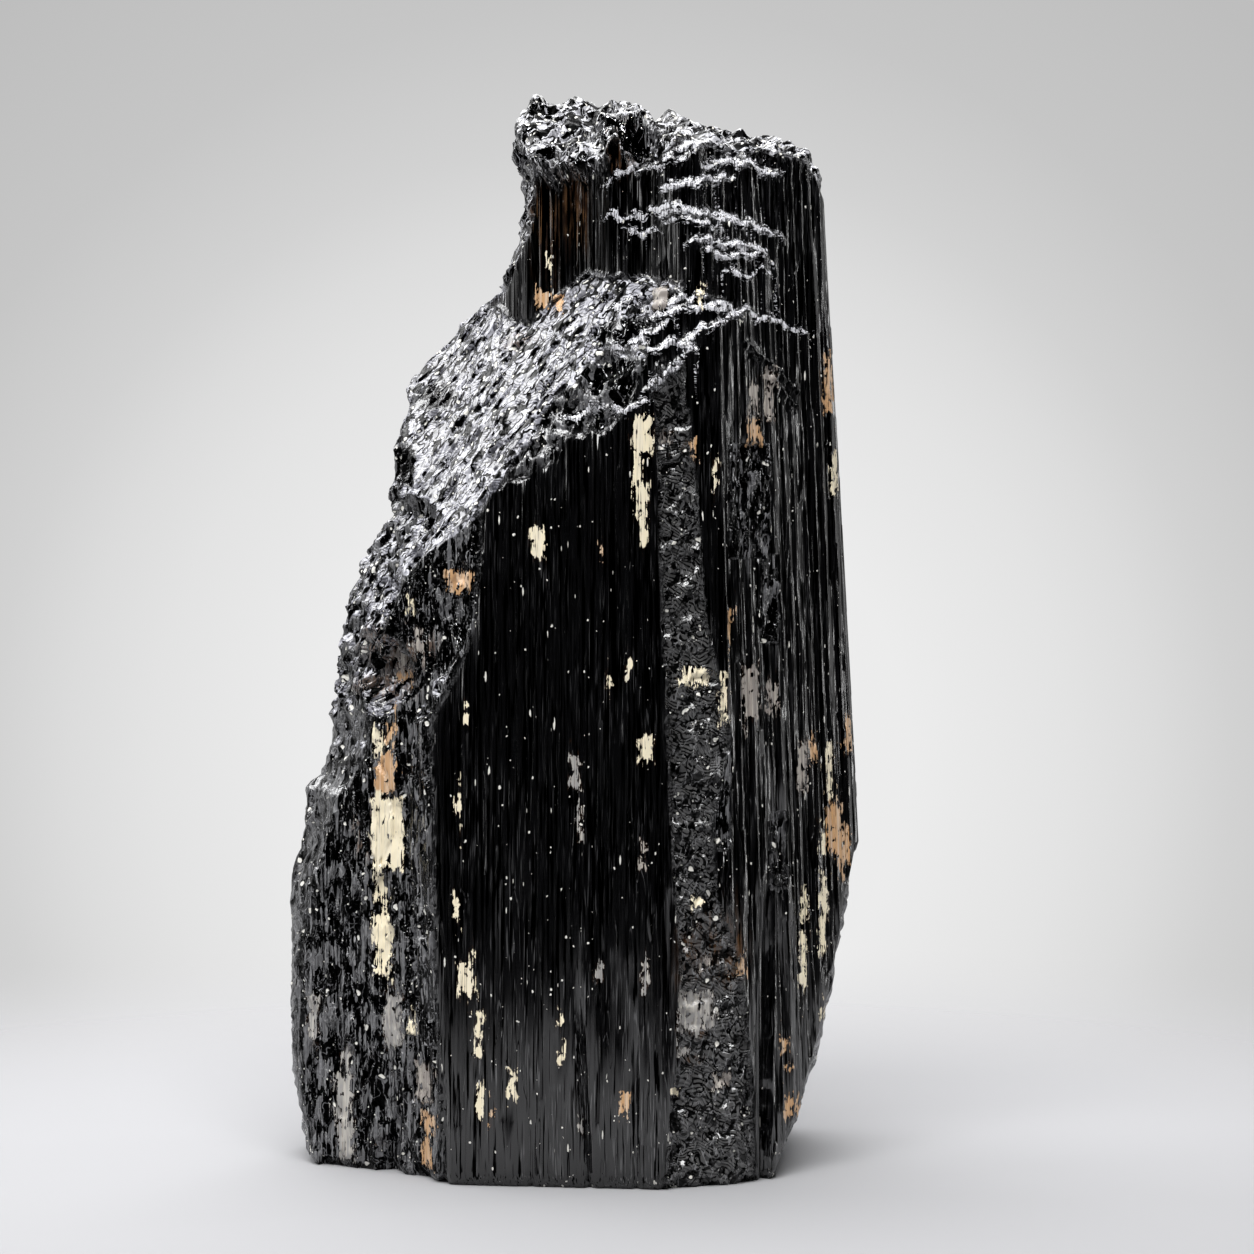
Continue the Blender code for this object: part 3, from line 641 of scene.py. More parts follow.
def ribs(around, x, z, number):
    """Height of one size of upright ribs: flats side by side, each at its own level and slant."""
    narrow, wide, low, high, lean, length = RIBS[number]
    chance = np.random.default_rng(SEED + 10 * number)
    count = int(2 * around[-1] / (narrow + wide)) + 40
    edges = np.cumsum(chance.uniform(narrow, wide, count))
    rib = np.searchsorted(edges, around)
    middle = edges[rib] - 0.5 * np.diff(edges, prepend=0)[rib]
    across = (around - middle)[None, :]
    level, slant, tip, phase = chance.uniform(-1, 1, (4, count + 1))
    height = level[rib][None, :] + 2 * lean * slant[rib][None, :] * across / (narrow + wide)
    if length:
        stretch = length * (1 + 0.6 * tip[rib])[None, :]
        shift = 60 * (1 + phase[rib])[None, :]
        block = np.floor((z + shift + 0.8 * tip[rib][None, :] * across) / stretch)
        step = chance.uniform(-1, 1, 4096)
        height = height + 0.8 * step[(block.astype(int) * 31 + rib[None, :] * 7) % 4096]
    slab = ramp(x, -30, -22) * (1 - ramp(x, 16, 26))
    return (high + (low - high) * slab) * height


def along(vector, way, share):
    """Points squeezed along a direction, so that what is drawn there comes out stretched."""
    way = np.array(way) / np.linalg.norm(way)
    return vector - (1 - share) * (vector @ way)[:, None] * way


def torn_relief(points, sheet, low):
    """Height of a broken surface: lumps, hollows between sharp ridges, and folds, drawn out as they run."""
    warp = np.stack([noise(*(points / 4 + 3 * k).T) for k in range(3)], 1)
    height = 1.2 * (1 - 2.2 * np.abs(noise(*(points / 8).T))) - 0.45
    height += 0.7 * (1 - 2.2 * np.abs(noise(*(points / 3.4 + 7).T))) - 0.3
    height *= (1 - 0.75 * sheet) * (1 - 0.35 * low)
    dragged = along(points, GOUGE_RUN, 0.5)
    upright = along(points, (0, 0, 1), 0.4)
    bent = np.where(low[:, None] > 0.5, upright, points)
    bent = np.where(sheet[:, None] > 0.5, dragged, bent) + 1.4 * warp
    for number, (size, share, on_sheet) in enumerate(SCALLOPS):
        hollow, _, _ = cells(bent, size, 3 + number)
        height += (share + (on_sheet - share) * np.maximum(sheet, 0.6 * low)) * (hollow - 0.45)
    fold = 0.5 - 1.5 * np.abs(noise(*(bent / FOLD_SIZE).T))
    height += (FOLD_HEIGHT + (FOLD_SHEET_HEIGHT - FOLD_HEIGHT) * sheet) * fold
    run = along(points, GOUGE_RUN, 0.38) + 0.8 * warp
    gouge = noise(*(run / GOUGE_SIZE + 5).T) + 0.3 * noise(*(run / 0.5 / GOUGE_SIZE).T)
    level = GOUGE_LEVEL[0] + (GOUGE_LEVEL[1] - GOUGE_LEVEL[0]) * sheet
    gouged = (1 - low) * ramp(gouge, level, level + 0.1)
    return height - GOUGE_DEPTH * gouged, gouged


def flakes(points, size, stretch, seed):
    """Height of overlapping flakes: each flat, at its own level and tilt, with a curved outline."""
    warp = np.stack([noise(*(points / 4 + 5 * k).T) for k in range(3)], 1)
    bent = along(points, (0, 0, 1), stretch) + 1.2 * warp
    _, level, tilt = cells(bent, size, seed)
    return FLAKE_RISE * (2 * level - 1) + FLAKE_TILT * size * tilt


def splinters(x, y, z):
    """Height of the raised edges across the ribs."""
    height = np.zeros(np.shape(x))
    for x0, z0, x1, z1 in SPLINTERS:
        length = math.hypot(x1 - x0, z1 - z0)
        u = ((x - x0) * (x1 - x0) + (z - z0) * (z1 - z0)) / length
        v = ((x - x0) * (z1 - z0) - (z - z0) * (x1 - x0)) / length
        ends = ramp(u, -0.5, 0.5) * ramp(length - u, -0.5, 0.5)
        edge = ramp(v, -0.3, 0) * (1 - ramp(v, 0, 1.6))
        height = np.maximum(height, SPLINTER_HEIGHT * ends * edge)
    return height * ramp(-y, *SIDE_FADE)


def relief(place, around, kinds, edges):
    """Height of the surface above the plain form, everywhere."""
    broken, sheet, band, rough = kinds
    x, y, z = np.moveaxis(place, -1, 0)
    upright = sum(ribs(around, x, z, k) for k in range(len(RIBS)))
    upright = upright * (0.75 + 0.35 * noise(x / 9, y / 9, z / 40))

    torn, gouged = np.zeros((2, x.size))
    where = np.flatnonzero(np.maximum(broken, rough).ravel() > 0.02)
    low = ((1 - ramp(z, *TORN_LOW_Z)) * (1 - sheet)).ravel()[where]
    points = place.reshape(-1, 3)[where]
    torn[where], gouged[where] = torn_relief(points, sheet.ravel()[where], low)
    torn, gouged = torn.reshape(x.shape), gouged.reshape(x.shape)

    flaked = np.zeros(x.size)
    where = np.flatnonzero(np.maximum(band, rough).ravel() > 0.02)
    points, set_back = place.reshape(-1, 3)[where], rough.ravel()[where]
    flaked[where] = set_back * flakes(points, FLAKE_SIZES[0], 0.22, 11)
    flaked[where] += (1 - set_back) * flakes(points, FLAKE_SIZES[1], 0.8, 12)
    flaked = flaked.reshape(x.shape)

    height = (1 - broken) * (1 - np.maximum(band, 0.6 * rough)) * upright
    torn *= 1 - on_ledges(x, y, z, 0.85)
    height += np.maximum(broken, 0.12 * rough) * torn + (1 - broken) * flaked
    height += (1 - broken) * splinters(x, y, z) + EDGE_HEIGHT * (1 - sheet) * edges
    return height + CHIP_HEIGHT * ramp(z, *CHIP_Z) * noise(*np.moveaxis(place / CHIP_SIZE, -1, 0)), gouged


def inset_field(x, y, z, normal):
    """How far inside a pale mineral each point lies, down to -INSET_REACH, and that mineral's colour."""
    inside = np.full(x.shape, -INSET_REACH)
    color = np.zeros(x.shape + (4,))
    color[...] = NO_TINT
    ragged_x = 0.5 * noise(x / 0.9, y / 0.9, z / 2.6)
    ragged_z = 0.9 * noise(x / 0.8, y / 0.8, z / 2 + 9)
    holes = noise(x / 0.9, y / 0.9, z / 1.3 + 4)
    front = normal[..., 1] < 0.1
    for rows, tint, gaps in INSETS:
        for at_x, at_z, half_width, half_height in rows:
            near = front & (within(x, z, at_x, at_z, half_width, half_height) > -INSET_REACH)
            half_width, half_height = half_width + 0.6 * ragged_x[near], half_height + ragged_z[near]
            value = within(x[near], z[near], at_x, at_z, half_width, half_height)
            value = np.minimum(value, 1.2 * (gaps + 0.25 - holes[near]) / (gaps + 0.25))
            ahead = np.where(x[near] > INSET_RIGHT_X, INSET_BACK_Y - y[near], INSET_REACH)
            value = np.minimum(value, ahead)
            better = value > inside[near]
            inside[near] = np.where(better, value, inside[near])
            color[near] = np.where(better[:, None], (*tint, 1), color[near])
    return inside, color


def stain_field(x, z, normal):
    """How deeply each point is stained brown, from 0 to 1."""
    stain = np.zeros(x.shape)
    for row in STAINS:
        stain = np.maximum(stain, 1 - ramp(oval(x, z, *row), 0.6, 1.3))
    return stain * ramp(-normal[..., 1], -0.1, 0.1)


def paint_sheen_and_shade(silver, broken, x, z, normal):
    """How much painted sheen each point has, with painted shade in the dark hollows, below 0, and painted
    highlight in the bright strips set in it.
    """
    front = ramp(-normal[..., 1], -0.1, 0.2)
    x = x + 2 * noise(x / 3, z / 3, 2)
    for *row, amount in PAINTED_SHADE_AND_SHEEN:
        silver = silver + (amount * broken - silver) * (1 - ramp(oval(x, z, *row), 0.8, 1.1)) * front
    return silver


def centred(points):
    """The points brought to the solid's height and put over its middle, as the solid was, in metres."""
    low, high = (np.array(corner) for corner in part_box(NODE))
    middle = 0.5 * (points.min(axis=0) + points.max(axis=0))
    middle[2] = 0
    scale = (high[2] - low[2]) / (points[:, 2].max() * MM)
    return (points - middle) * scale * MM + (*(0.5 * (low + high))[:2], low[2])


def in_order(grid, foot):
    """A grid's values in the order of the mesh's vertices: row by row, then the pole's, then the foot's."""
    return np.concatenate([grid[:-1].reshape(-1, *grid.shape[2:]), grid[-1:, 0], [foot]])


def closed_triangles(rows):
    """The triangles of a grid of points that closes round the crystal, with its pole and its foot."""
    grid = np.arange((rows - 1) * COLUMNS).reshape(rows - 1, COLUMNS)
    beside = np.roll(grid, -1, 1)
    pole = np.full(COLUMNS, grid.size)
    quads = np.stack([grid[:-1], beside[:-1], beside[1:], grid[1:]], -1).reshape(-1, 4)
    cap = np.stack([grid[-1], beside[-1], pole], -1)
    bottom = np.stack([beside[0], grid[0], pole + 1], -1)
    return np.concatenate([quads[:, [0, 1, 2]], quads[:, [0, 2, 3]], cap, bottom])


def triangle_mesh(points, tris):
    mesh = bpy.data.meshes.new("crystal")
    mesh.vertices.add(len(points))
    mesh.vertices.foreach_set("co", points.ravel())
    mesh.loops.add(3 * len(tris))
    mesh.loops.foreach_set("vertex_index", tris.ravel())
    mesh.polygons.add(len(tris))
    mesh.polygons.foreach_set("loop_start", np.arange(0, 3 * len(tris), 3))
    mesh.update()
    return mesh


# The second of these holds the painted sheen, with painted shade below 0; ledge places the painted highlight
# along the ledges.
ATTRIBUTES = ("broken", "silver", "band", "rough", "ledge", "inside", "stain")


def fine_crystal():
    """The crystal's mesh, with the kinds of surface as attributes of its vertices, and its loose vertices."""
    place, around = base_form()
    normal = grid_normals(blurred(place, 6))
    x, y, z = np.moveaxis(place, -1, 0)
    broken, sheet, band, rough = kinds = masks(x, y, z, normal)
    # The ledges' broken edges: raised in the relief, and given the painted highlight in the material.
    edges = ledge_edges(x, z) * ramp(-normal[..., 1], 0.15, 0.4) * off_head(x, z)
    height, gouged = relief(place, around, kinds, edges)
    moved = place + height[..., None] * normal

    # The painted sheen: silvery colour on the oblique sheet and on broken ridges that face up, with painted
    # shade and highlight patches set in it.
    upper = np.maximum(ramp(z, *UPPER_Z), ramp(z, *LEFT_UPPER_Z) * ramp(-x, *LEFT_UPPER_X))
    ridges = broken * upper * ramp(grid_normals(blurred(moved, 2))[..., 2], *UP_FACING)
    ridges *= 1 - on_ledges(x, y, z) * ramp(LEDGE_TOP_Z - z, 0, 2)
    silver = paint_sheen_and_shade(np.maximum(sheet, ridges) * (1 - gouged), broken, x, z, normal)
    inside, tint = inset_field(x, y, z, normal)

    moved[0, :, 2] = 0
    moved[..., 2] = np.maximum(moved[..., 2], 0)
    moved[-1] = moved[-1].mean(axis=0)
    mesh = triangle_mesh(centred(in_order(moved, (AXIS_X, AXIS_Y, 0))), closed_triangles(len(moved)))
    values = (broken, silver, band, rough, edges, inside, stain_field(x, z, normal))
    for name, grid in zip(ATTRIBUTES, values):
        layer = mesh.attributes.new(name, "FLOAT", "POINT")
        layer.data.foreach_set("value", in_order(grid, 0).astype(np.float32))
    layer = mesh.attributes.new("tint", "FLOAT_COLOR", "POINT")
    layer.data.foreach_set("color", in_order(tint, NO_TINT).ravel().astype(np.float32))
    return mesh, np.flatnonzero(inside[:-1].ravel() < -LOOSE_AWAY)


def thinned(mesh, loose, triangles):
    """The same surface with fewer triangles, and none lost round an inset."""
    rough = bpy.data.objects.new("rough", mesh)
    bpy.context.scene.collection.objects.link(rough)
    group = rough.vertex_groups.new(name="loose")
    group.add([int(i) for i in loose] + [len(mesh.vertices) - 2, len(mesh.vertices) - 1], 1, "REPLACE")
    thin = rough.modifiers.new("thin", "DECIMATE")
    thin.ratio = triangles / len(mesh.polygons)
    thin.use_collapse_triangulate = True
    thin.vertex_group = "loose"
    thin.vertex_group_factor = 0.001
    graph = bpy.context.evaluated_depsgraph_get()
    kept = bpy.data.meshes.new_from_object(rough.evaluated_get(graph))
    bpy.data.objects.remove(rough)
    return kept


class Nodes:
    """Short ways to add nodes to the tree of a material or a world."""

    def __init__(self, owner):
        owner.use_nodes = True
        self.tree = owner.node_tree
        self.tree.nodes.clear()

    def put(self, socket, value):
        if isinstance(value, bpy.types.NodeSocket):
            self.tree.links.new(value, socket)
        else:
            socket.default_value = value

    def add(self, kind, **values):
        """The outputs of a new node, its inputs given by name."""
        node = self.tree.nodes.new("ShaderNode" + kind)
        for name, value in values.items():
            self.put(node.inputs[name.replace("_", " ")], value)
        return node.outputs

    def work(self, kind, values, **settings):
        """The outputs of a new node with those settings, its inputs given in order."""
        node = self.tree.nodes.new("ShaderNode" + kind)
        for name, setting in settings.items():
            setattr(node, name, setting)
        for socket, value in zip(node.inputs, values):
            self.put(socket, value)
        return node.outputs

    def math(self, operation, *values):
        return self.work("Math", values, operation=operation)[0]

    def times(self, first, second):
        return self.math("MULTIPLY", first, second)

    def most(self, first, second):
        return self.math("MAXIMUM", first, second)

    def rest(self, share):
        """What a share leaves of the whole."""
        return self.math("SUBTRACT", 1, share)

    def scaled_sum(self, value, scale, start):
        """A starting value with a scaled one added to it."""
        return self.math("MULTIPLY_ADD", value, scale, start)

    def vector(self, operation, *values):
        outputs = self.work("VectorMath", values, operation=operation)
        return outputs["Value" if operation in ("DOT_PRODUCT", "LENGTH", "DISTANCE") else "Vector"]

    def read(self, name, output="Fac"):
        return self.work("Attribute", (), attribute_name=name)[output]

    def between(self, value, low, high, to_low=0, to_high=1):
        """A smooth step from one level to the other."""
        return self.work("MapRange", (value, low, high, to_low, to_high), interpolation_type="SMOOTHSTEP")[0]

    def below(self, value, low, high):
        """1 below low, 0 above high, smooth between."""
        return self.between(value, low, high, 1, 0)

    def blend(self, share, first, second, kind="FLOAT"):
        """One number, or one colour, giving way to another."""
        node = self.tree.nodes.new("ShaderNodeMix")
        node.data_type = kind
        at = {"FLOAT": 0, "RGBA": 2}[kind]
        self.put(node.inputs["Factor"], share)
        self.put(node.inputs[2 + 2 * at], first)
        self.put(node.inputs[3 + 2 * at], second)
        return node.outputs[at]

    def mix(self, share, first, second):
        return self.blend(share, first, second, "RGBA")

    def mix_shaders(self, share, first, second):
        return self.work("MixShader", (share, first, second))[0]

    def sized(self, vector, size):
        """Coordinates in millimetres, divided by the size of a feature each way."""
        return self.vector("MULTIPLY", vector, [1 / s for s in size])

    def stretch(self, vector, size):
        """Coordinates in metres, divided by the size in millimetres of a feature each way."""
        return self.sized(vector, [s * MM for s in size])

    def noise(self, vector, detail=1, rough=0.5, bend=0, output="Fac"):
        kind = {"Detail": detail, "Roughness": rough, "Distortion": bend}
        return self.add("TexNoise", Vector=vector, Scale=1, **kind)[output]

    def bent(self, vector, size, amount):
        """The coordinates in millimetres, swirled by that amount over features of that size."""
        swirl = self.noise(self.stretch(vector, (size,) * 3), output="Color")
        return self.vector("MULTIPLY_ADD", swirl, (amount,) * 3, self.stretch(vector, (1, 1, 1)))

    def drawn(self, vector, way, share):
        """Coordinates squeezed along a direction, so that what is drawn there comes out stretched."""
        length = math.sqrt(sum(c * c for c in way))
        way = [c / length for c in way]
        reach = self.times(self.vector("DOT_PRODUCT", vector, way), share - 1)
        same = self.add("CombineXYZ", X=reach, Y=reach, Z=reach)[0]
        return self.vector("MULTIPLY_ADD", same, way, vector)

    def waves(self, vector, way, apart):
        """Waves from 0 to 1 along a direction, that many millimetres apart."""
        reach = self.vector("DOT_PRODUCT", vector, [c * 2 * math.pi / apart for c in way])
        return self.scaled_sum(self.math("SINE", reach), 0.5, 0.5)

    def thin_line(self, value, width):
        """1 on the thin line where a noise crosses its middle, 0 away from it."""
        away = self.math("DIVIDE", self.math("ABSOLUTE", self.math("SUBTRACT", value, 0.5)), width)
        return self.below(away, 0.6, 1)

    def specks(self, vector, share, radius):
        """Rounded specks of many sizes in that share of the cells, and the dark rims round them."""
        cell = self.add("TexVoronoi", Vector=vector, Scale=1)
        pick = self.add("SeparateColor", Color=cell["Color"])
        chosen = self.math("LESS_THAN", pick[0], share)
        size = self.scaled_sum(self.math("POWER", pick[1], 2), 1.1, 0.45)
        away = self.math("DIVIDE", cell["Distance"], size)
        near, rim = self.below(away, 0.75 * radius, radius), self.below(away, 1.2 * radius, 1.6 * radius)
        return self.times(chosen, near), self.times(chosen, rim)


def kinds_of_place(n):
    """What the material is told about each place: the mesh's own masks, and how high up it is."""
    m = SimpleNamespace(**{name: n.read(name) for name in ATTRIBUTES})
    m.spot = n.add("TexCoord")["Object"]
    # Above 0 the sheen attribute lightens the colour as painted sheen; below 0 it is painted shade.
    m.gloom = n.most(n.times(m.silver, -1), 0)
    m.silver = n.most(m.silver, 0)
    m.upright = n.rest(n.most(m.broken, n.most(m.band, m.rough)))
    m.torn = n.rest(m.upright)
    x, _, z = n.add("SeparateXYZ", Vector=m.spot)
    m.high, m.crown = n.between(z, *ABOVE_FOOT), n.between(z, *AT_CROWN)
    m.wall = n.times(m.crown, n.below(x, *LEFT_OF_VALLEY))
    return m


def patterns(n, m):
    """Upright striations, and the hatching, veins, holes and plates that swirl over broken places."""
    m.fine = n.noise(n.stretch(m.spot, (0.55, 0.55, 30)), 2, 0.6)
    m.hair = n.noise(n.stretch(m.spot, (0.24, 0.24, 8)))
    m.area = n.noise(n.stretch(m.spot, (7, 7, 16)), 2)
    m.cluster = n.noise(n.stretch(m.spot, (3, 3, 5)))
    m.panels = n.thin_line(n.noise(n.stretch(m.spot, (2.4, 2.4, 70))), 0.014)

    flow = n.bent(m.spot, 4, 5)
    run = n.drawn(n.bent(m.spot, 2.6, 2.2), GOUGE_RUN, 0.55)
    rise = n.drawn(n.bent(m.spot, 3, 2.4), (0, 0, 1), 0.4)
    m.hatch = n.between(n.waves(flow, (0.35, 0.2, 0.9), 0.8), 0.25, 0.6)
    m.lines = n.times(m.hatch, n.between(m.cluster, 0.38, 0.5))
    m.veins = n.thin_line(n.noise(n.sized(run, (2, 2, 2))), n.blend(m.silver, 0.022, 0.034))
    gap = n.noise(n.sized(run, (1.7, 1.7, 1.7)))
    m.holes = n.between(n.scaled_sum(m.crown, 0.09, gap), 0.57, 0.585)
    m.pits = n.most(m.veins, m.holes)
    m.plates = n.noise(n.sized(rise, (2.1, 2.1, 2.1)), 2)
    m.wrinkles = n.thin_line(n.noise(n.sized(rise, (1.5, 1.5, 1.5))), 0.018)
    # How far the colour turns to the painted silvery foil.
    m.foiled = n.between(m.silver, 0.3, 0.6)


def painted_ledge_lace(n, m):
    """The broken lace of painted highlight along the ledges."""
    lace = n.noise(n.sized(n.bent(m.spot, 1.6, 1.4), (1.9, 1.9, 0.75)))
    m.ledged = n.between(n.scaled_sum(lace, 2.6, n.math("SUBTRACT", m.ledge, 1.3)), 0.5, 0.6)
    m.ledged = n.most(m.ledged, n.thin_line(lace, 0.022))
    m.ledged = n.times(m.ledged, n.between(m.ledge, 0.06, 0.12))


def hollows(n, m):
    """Painted shade, a black that throws back no light: hollows between the ribs, and most of what is rough.
    """
    depth = n.scaled_sum(m.wall, 0.05, n.blend(m.high, 0.575, 0.645))
    deep = n.math("SUBTRACT", n.scaled_sum(m.hair, 0.35, m.fine), depth)
    deep = n.times(n.below(deep, -0.02, 0.02), m.upright)
    streaks = n.scaled_sum(m.fine, n.blend(m.rough, 0.15, 0.55), m.plates)
    hollow = n.math("SUBTRACT", streaks, n.scaled_sum(m.high, 0.04, n.blend(m.rough, 0.5, 0.8)))
    # The dark hollows set in the painted sheen deepen this painted shade.
    hollow = n.below(n.scaled_sum(m.gloom, -0.15, hollow), 0, 0.02)
    hollow = n.blend(m.band, hollow, n.most(m.veins, n.times(m.holes, 0.8)))
    dark = n.most(n.times(m.torn, n.blend(m.foiled, hollow, m.pits)), deep)
    m.dark = n.times(dark, n.rest(m.ledged))


def rock(n, m):
    """Black with grey hairs, grey plates where rough, a leathery band, a painted silvery sheen on breaks,
    painted highlights on wrinkles and ledges, painted shade in hollows, and brown stains.
    """
    busy = n.between(m.area, 0.4, 0.62, 0.1, 1)
    busy = n.times(busy, n.most(m.upright, n.times(m.rough, 0.5)))
    hairs = n.times(n.between(m.hair, 0.58, 0.72), busy)
    # Grey hairs, paler low down as a painted reflection of the floor.
    color = n.mix(hairs, JET, n.mix(m.high, LOW_HAIR_FLOOR_REFLECTION, HIGH_HAIR))
    slate = n.mix(n.between(m.fine, 0.36, 0.66), DARK_SLATE, SLATE)
    leather = n.mix(n.times(m.hatch, 0.8), DARK_LEATHER, LEATHER)
    color = n.mix(m.band, n.mix(m.torn, color, slate), leather)

    # Silvery foil colours where the sheen is painted.
    foil = n.mix(n.between(m.plates, 0.56, 0.59), n.mix(m.lines, DARK_FOIL_SHEEN, FOIL_SHEEN), PALE_FOIL_SHEEN)
    # Up at the crown the foil brightens as a painted highlight.
    foil = n.mix(n.times(m.crown, 0.5), foil, CROWN_FOIL_HIGHLIGHT)
    color = n.mix(m.foiled, color, foil)

    stain = n.times(m.stain, n.between(m.fine, 0.4, 0.6))
    brown = n.mix(n.between(m.plates, 0.4, 0.6), DARK_BROWN, BROWN)
    color = n.mix(n.times(stain, n.blend(m.band, 0.65, 0.35)), color, brown)
    # Painted shade: black in the hollows.
    color = n.mix(m.dark, color, SHADE_BLACK)
    # Wrinkle lines painted as highlights, brighter at the crown.
    wrinkled = n.times(m.wrinkles, n.times(m.torn, n.rest(m.silver)))
    color = n.mix(wrinkled, color, n.mix(m.crown, WRINKLE_HIGHLIGHT, CROWN_WRINKLE_HIGHLIGHT))
    color = n.mix(n.times(n.between(m.hair, 0.62, 0.68), m.rough), color, ROUGH_HAIR)
    # The painted highlight along the ledges.
    return n.mix(m.ledged, color, n.mix(n.between(m.hair, 0.42, 0.52), DIM_LEDGE_HIGHLIGHT, BRIGHT_LEDGE_HIGHLIGHT))


def white_specks(n, m, color):
    """White specks, alone and in clusters, drawn out upright on the prism faces: partly pale grains, partly
    painted glints.
    """
    many = n.between(m.cluster, 0.44, 0.68, 0.006, 0.24)
    dots, _ = n.specks(n.sized(n.bent(m.spot, 1.1, 0.7), (0.67, 0.67, 0.83)), n.times(many, 0.7), 0.26)
    dashes, _ = n.specks(n.stretch(m.spot, (0.62, 0.62, 3.4)), n.times(many, 0.55), 0.26)
    swirled = n.sized(n.bent(m.spot, 2.2, 2), (1.5, 1.5, 1.3))
    grains, rims = n.specks(swirled, n.times(m.torn, n.blend(m.silver, 0.16, 0.5)), 0.3)
    color = n.mix(n.times(rims, 0.85), color, RIM)
    white = n.most(dots, n.most(n.times(dashes, m.upright), grains))
    return white, n.mix(white, color, WHITE_GRAIN_AND_GLINT)


def minerals(n, m, color):
    """Pale minerals, with crisp ragged edges, brown along them."""
    blot = n.noise(n.stretch(m.spot, (1.2, 1.2, 2)), 3, 0.6, 0.6)
    edge = n.math("ADD", m.inside, n.times(n.math("SUBTRACT", blot, 0.5), 4.2))
    edge = n.math("ADD", edge, n.times(n.math("SUBTRACT", m.hair, 0.5), 2.2))
    inset = n.between(edge, -0.03, 0.05)
    cloudy = n.mix(n.between(m.fine, 0.42, 0.66, 0, 0.35), n.read("tint", "Color"), CLOUD)
    cloudy = n.mix(n.between(m.hair, 0.3, 0.42, 0.55, 0), cloudy, CRACK)
    color = n.mix(n.between(edge, -0.35, -0.02, 0, 0.75), color, RUST)
    return inset, n.mix(inset, color, cloudy)


def bumps(n, m, clean):
    """The finest relief, in millimetres: striations, torn plates and pits, and raised grains."""
    height = n.math("ADD", n.times(m.fine, 0.05), n.times(m.hair, 0.02))
    height = n.times(m.upright, n.math("SUBTRACT", height, n.times(m.panels, 0.08)))
    ragged = n.math("ADD", n.times(m.lines, 0.025), n.times(m.plates, 0.6))
    ragged = n.scaled_sum(m.pits, -0.08, ragged)
    height = n.scaled_sum(n.times(ragged, m.torn), clean, height)
    return n.scaled_sum(n.rest(clean), 0.06, height)


def schorl():
    """Glossy black, striated where it is prism face, and swirled and creased where it is broken, with a
    silvery sheen painted on the breaks.
    """
    material = bpy.data.materials.new("schorl")
    n = Nodes(material)
    m = kinds_of_place(n)
    patterns(n, m)
    painted_ledge_lace(n, m)
    hollows(n, m)
    white, color = white_specks(n, m, rock(n, m))
    inset, color = minerals(n, m, color)
    clean = n.rest(n.most(inset, white))

    polish = n.blend(m.torn, n.between(m.fine, 0.3, 0.7, 0.06, 0.15), 0.12)
    polish = n.blend(n.most(m.silver, m.ledged), polish, 0.22)
    polish = n.blend(clean, 0.5, polish)
    bump = n.add("Bump", Strength=1, Distance=MM, Height=bumps(n, m, clean))[0]
    # Where the painted shade lies, the surface is metallic black, so it mirrors almost no light.
    shader = n.add("BsdfPrincipled", Base_Color=color, Metallic=n.times(m.dark, clean), Roughness=polish,
                   IOR=1.75, Normal=bump)
    n.add("OutputMaterial", Surface=shader[0])
    return material


def floor_material():
    """Pale grey, fading out with distance from the crystal: soon to the camera, later in what it mirrors."""
    material = bpy.data.materials.new("pale_floor")
    n = Nodes(material)
    away = n.vector("LENGTH", n.add("TexCoord")["Object"])
    seen = n.add("LightPath")["Is Camera Ray"]
    clear = n.blend(seen, n.between(away, *FADE_MIRRORED), n.between(away, *FADE_SEEN))
    paint = n.add("BsdfDiffuse", Color=FLOOR_COLOR)[0]
    n.add("OutputMaterial", Surface=n.mix_shaders(clear, paint, n.add("BsdfTransparent")[0]))
    return material


def floor():
    bpy.ops.mesh.primitive_circle_add(vertices=96, radius=0.8, fill_type="NGON", location=(0, 0, 0))
    disc = bpy.context.object
    disc.name = "floor"
    disc.data.materials.append(floor_material())
    return disc


def toward(azimuth, elevation):
    """The direction at that azimuth and elevation, in degrees."""
    turn, lift = math.radians(azimuth), math.radians(elevation)
    return Vector((math.cos(lift) * math.cos(turn), math.cos(lift) * math.sin(turn), math.sin(lift)))


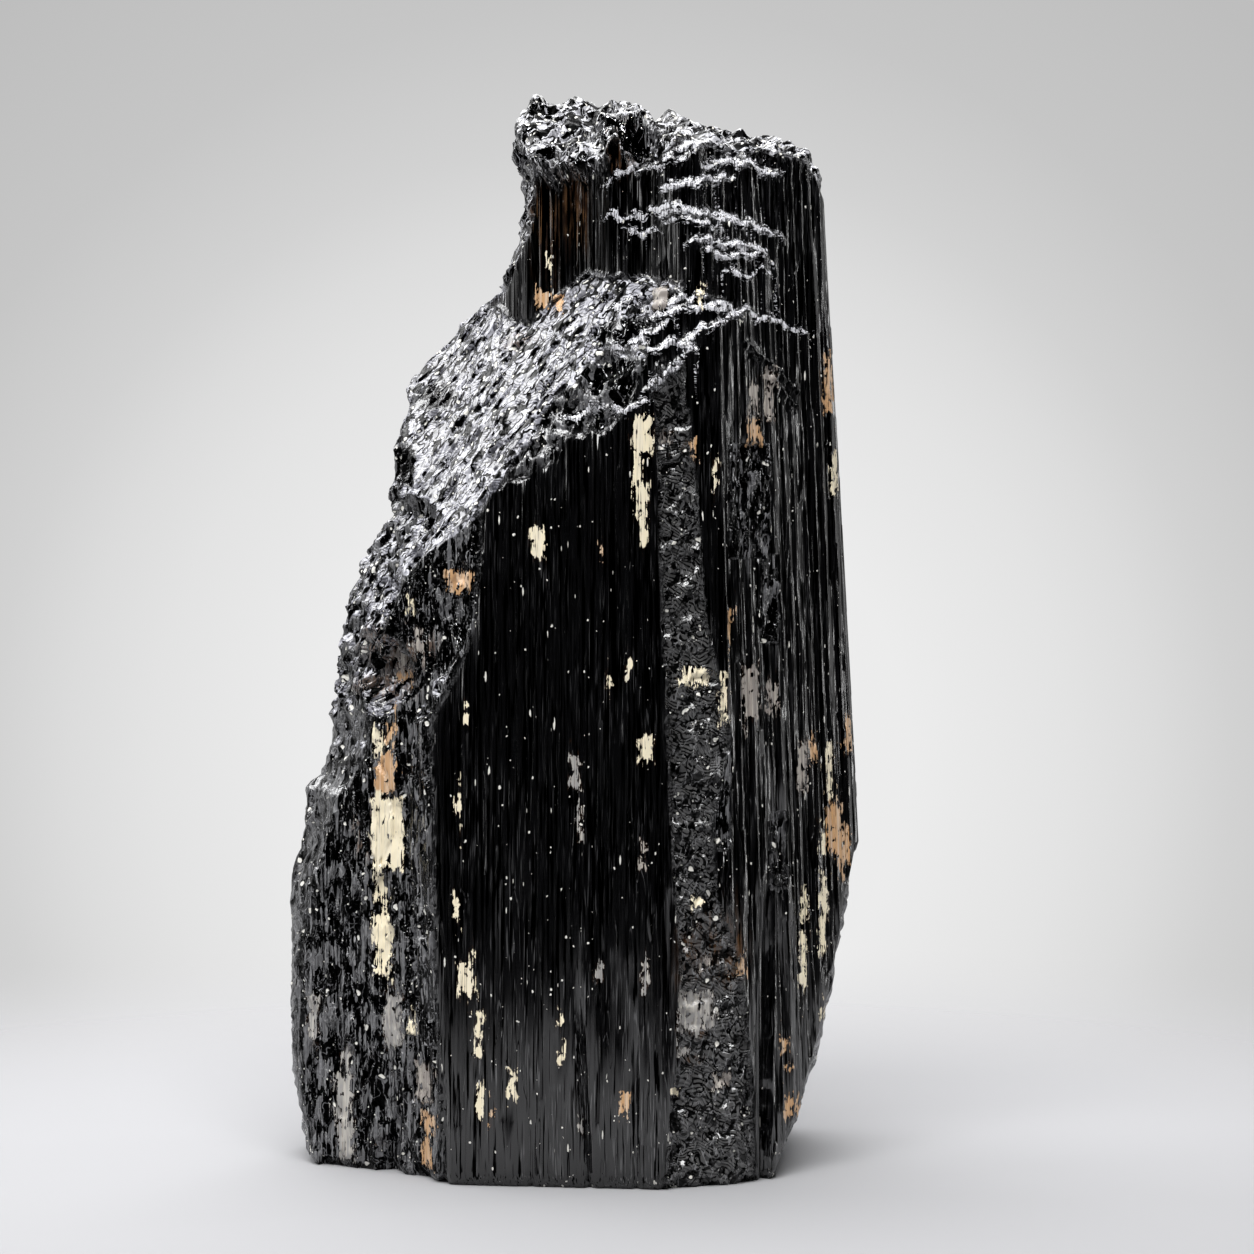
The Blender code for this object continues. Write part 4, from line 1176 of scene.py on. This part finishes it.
def softbox(name, away, azimuth, elevation, width, tall, radiance):
    """A large soft light, facing the crystal's middle."""
    lamp = bpy.data.lights.new(name, "AREA")
    lamp.shape = "RECTANGLE"
    lamp.size, lamp.size_y = width, tall
    lamp.energy = radiance * math.pi * width * tall
    way = toward(azimuth, elevation)
    light = bpy.data.objects.new(name, lamp)
    light.location = LIT_POINT + away * way
    light.rotation_euler = (-way).to_track_quat("-Z", "Y").to_euler()
    bpy.context.scene.collection.objects.link(light)
    light.visible_camera = False


def glow(n, way):
    """The pale backdrop, the brightest low behind the crystal and darker away from there."""
    away = n.times(n.vector("DISTANCE", way, GLOW_WAY), GLOW_SCALE)
    node = n.tree.nodes.new("ShaderNodeValToRGB")
    n.put(node.inputs[0], away)
    elements = node.color_ramp.elements
    while len(elements) < len(GLOW):
        elements.new(0.5)
    for element, (apart, value) in zip(elements, GLOW):
        element.position = GLOW_SCALE * apart
        element.color = (value, value, value, 1)
    return n.add("Background", Color=node.outputs[0], Strength=1)[0]


def studio():
    """The backdrop that the camera sees, and the dimmer room that the crystal mirrors."""
    world = bpy.data.worlds.new("studio")
    bpy.context.scene.world = world
    n = Nodes(world)
    way = n.add("TexCoord")["Generated"]
    behind = n.add("SeparateXYZ", Vector=way)["Y"]
    room = n.add("Background", Color=(1, 1, 1, 1), Strength=n.between(behind, *ROOM))[0]
    seen = n.add("LightPath")["Is Camera Ray"]
    n.add("OutputWorld", Surface=n.mix_shaders(seen, room, glow(n, way)))


def camera():
    lens = bpy.data.cameras.new("camera")
    lens.lens = 110
    lens.sensor_width = 36
    lens.clip_start = 0.01
    eye = bpy.data.objects.new("camera", lens)
    down = math.radians(CAMERA_DOWN)
    eye.location = CAMERA_AIM + CAMERA_AWAY * Vector((0, -math.cos(down), math.sin(down)))
    eye.rotation_euler = (math.radians(90) - down, 0, 0)
    bpy.context.scene.collection.objects.link(eye)
    bpy.context.scene.camera = eye


camera()
studio()
for light in LIGHTS:
    softbox(*light)
ground = floor()

stone = bpy.data.objects.new("crystal", thinned(*fine_crystal(), KEPT_TRIANGLES))
bpy.context.scene.collection.objects.link(stone)
stone.data.shade_smooth()
stone.data.materials.append(schorl())
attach(stone, "root")
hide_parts(NODE)

bpy.context.scene.view_settings.view_transform = "Standard"
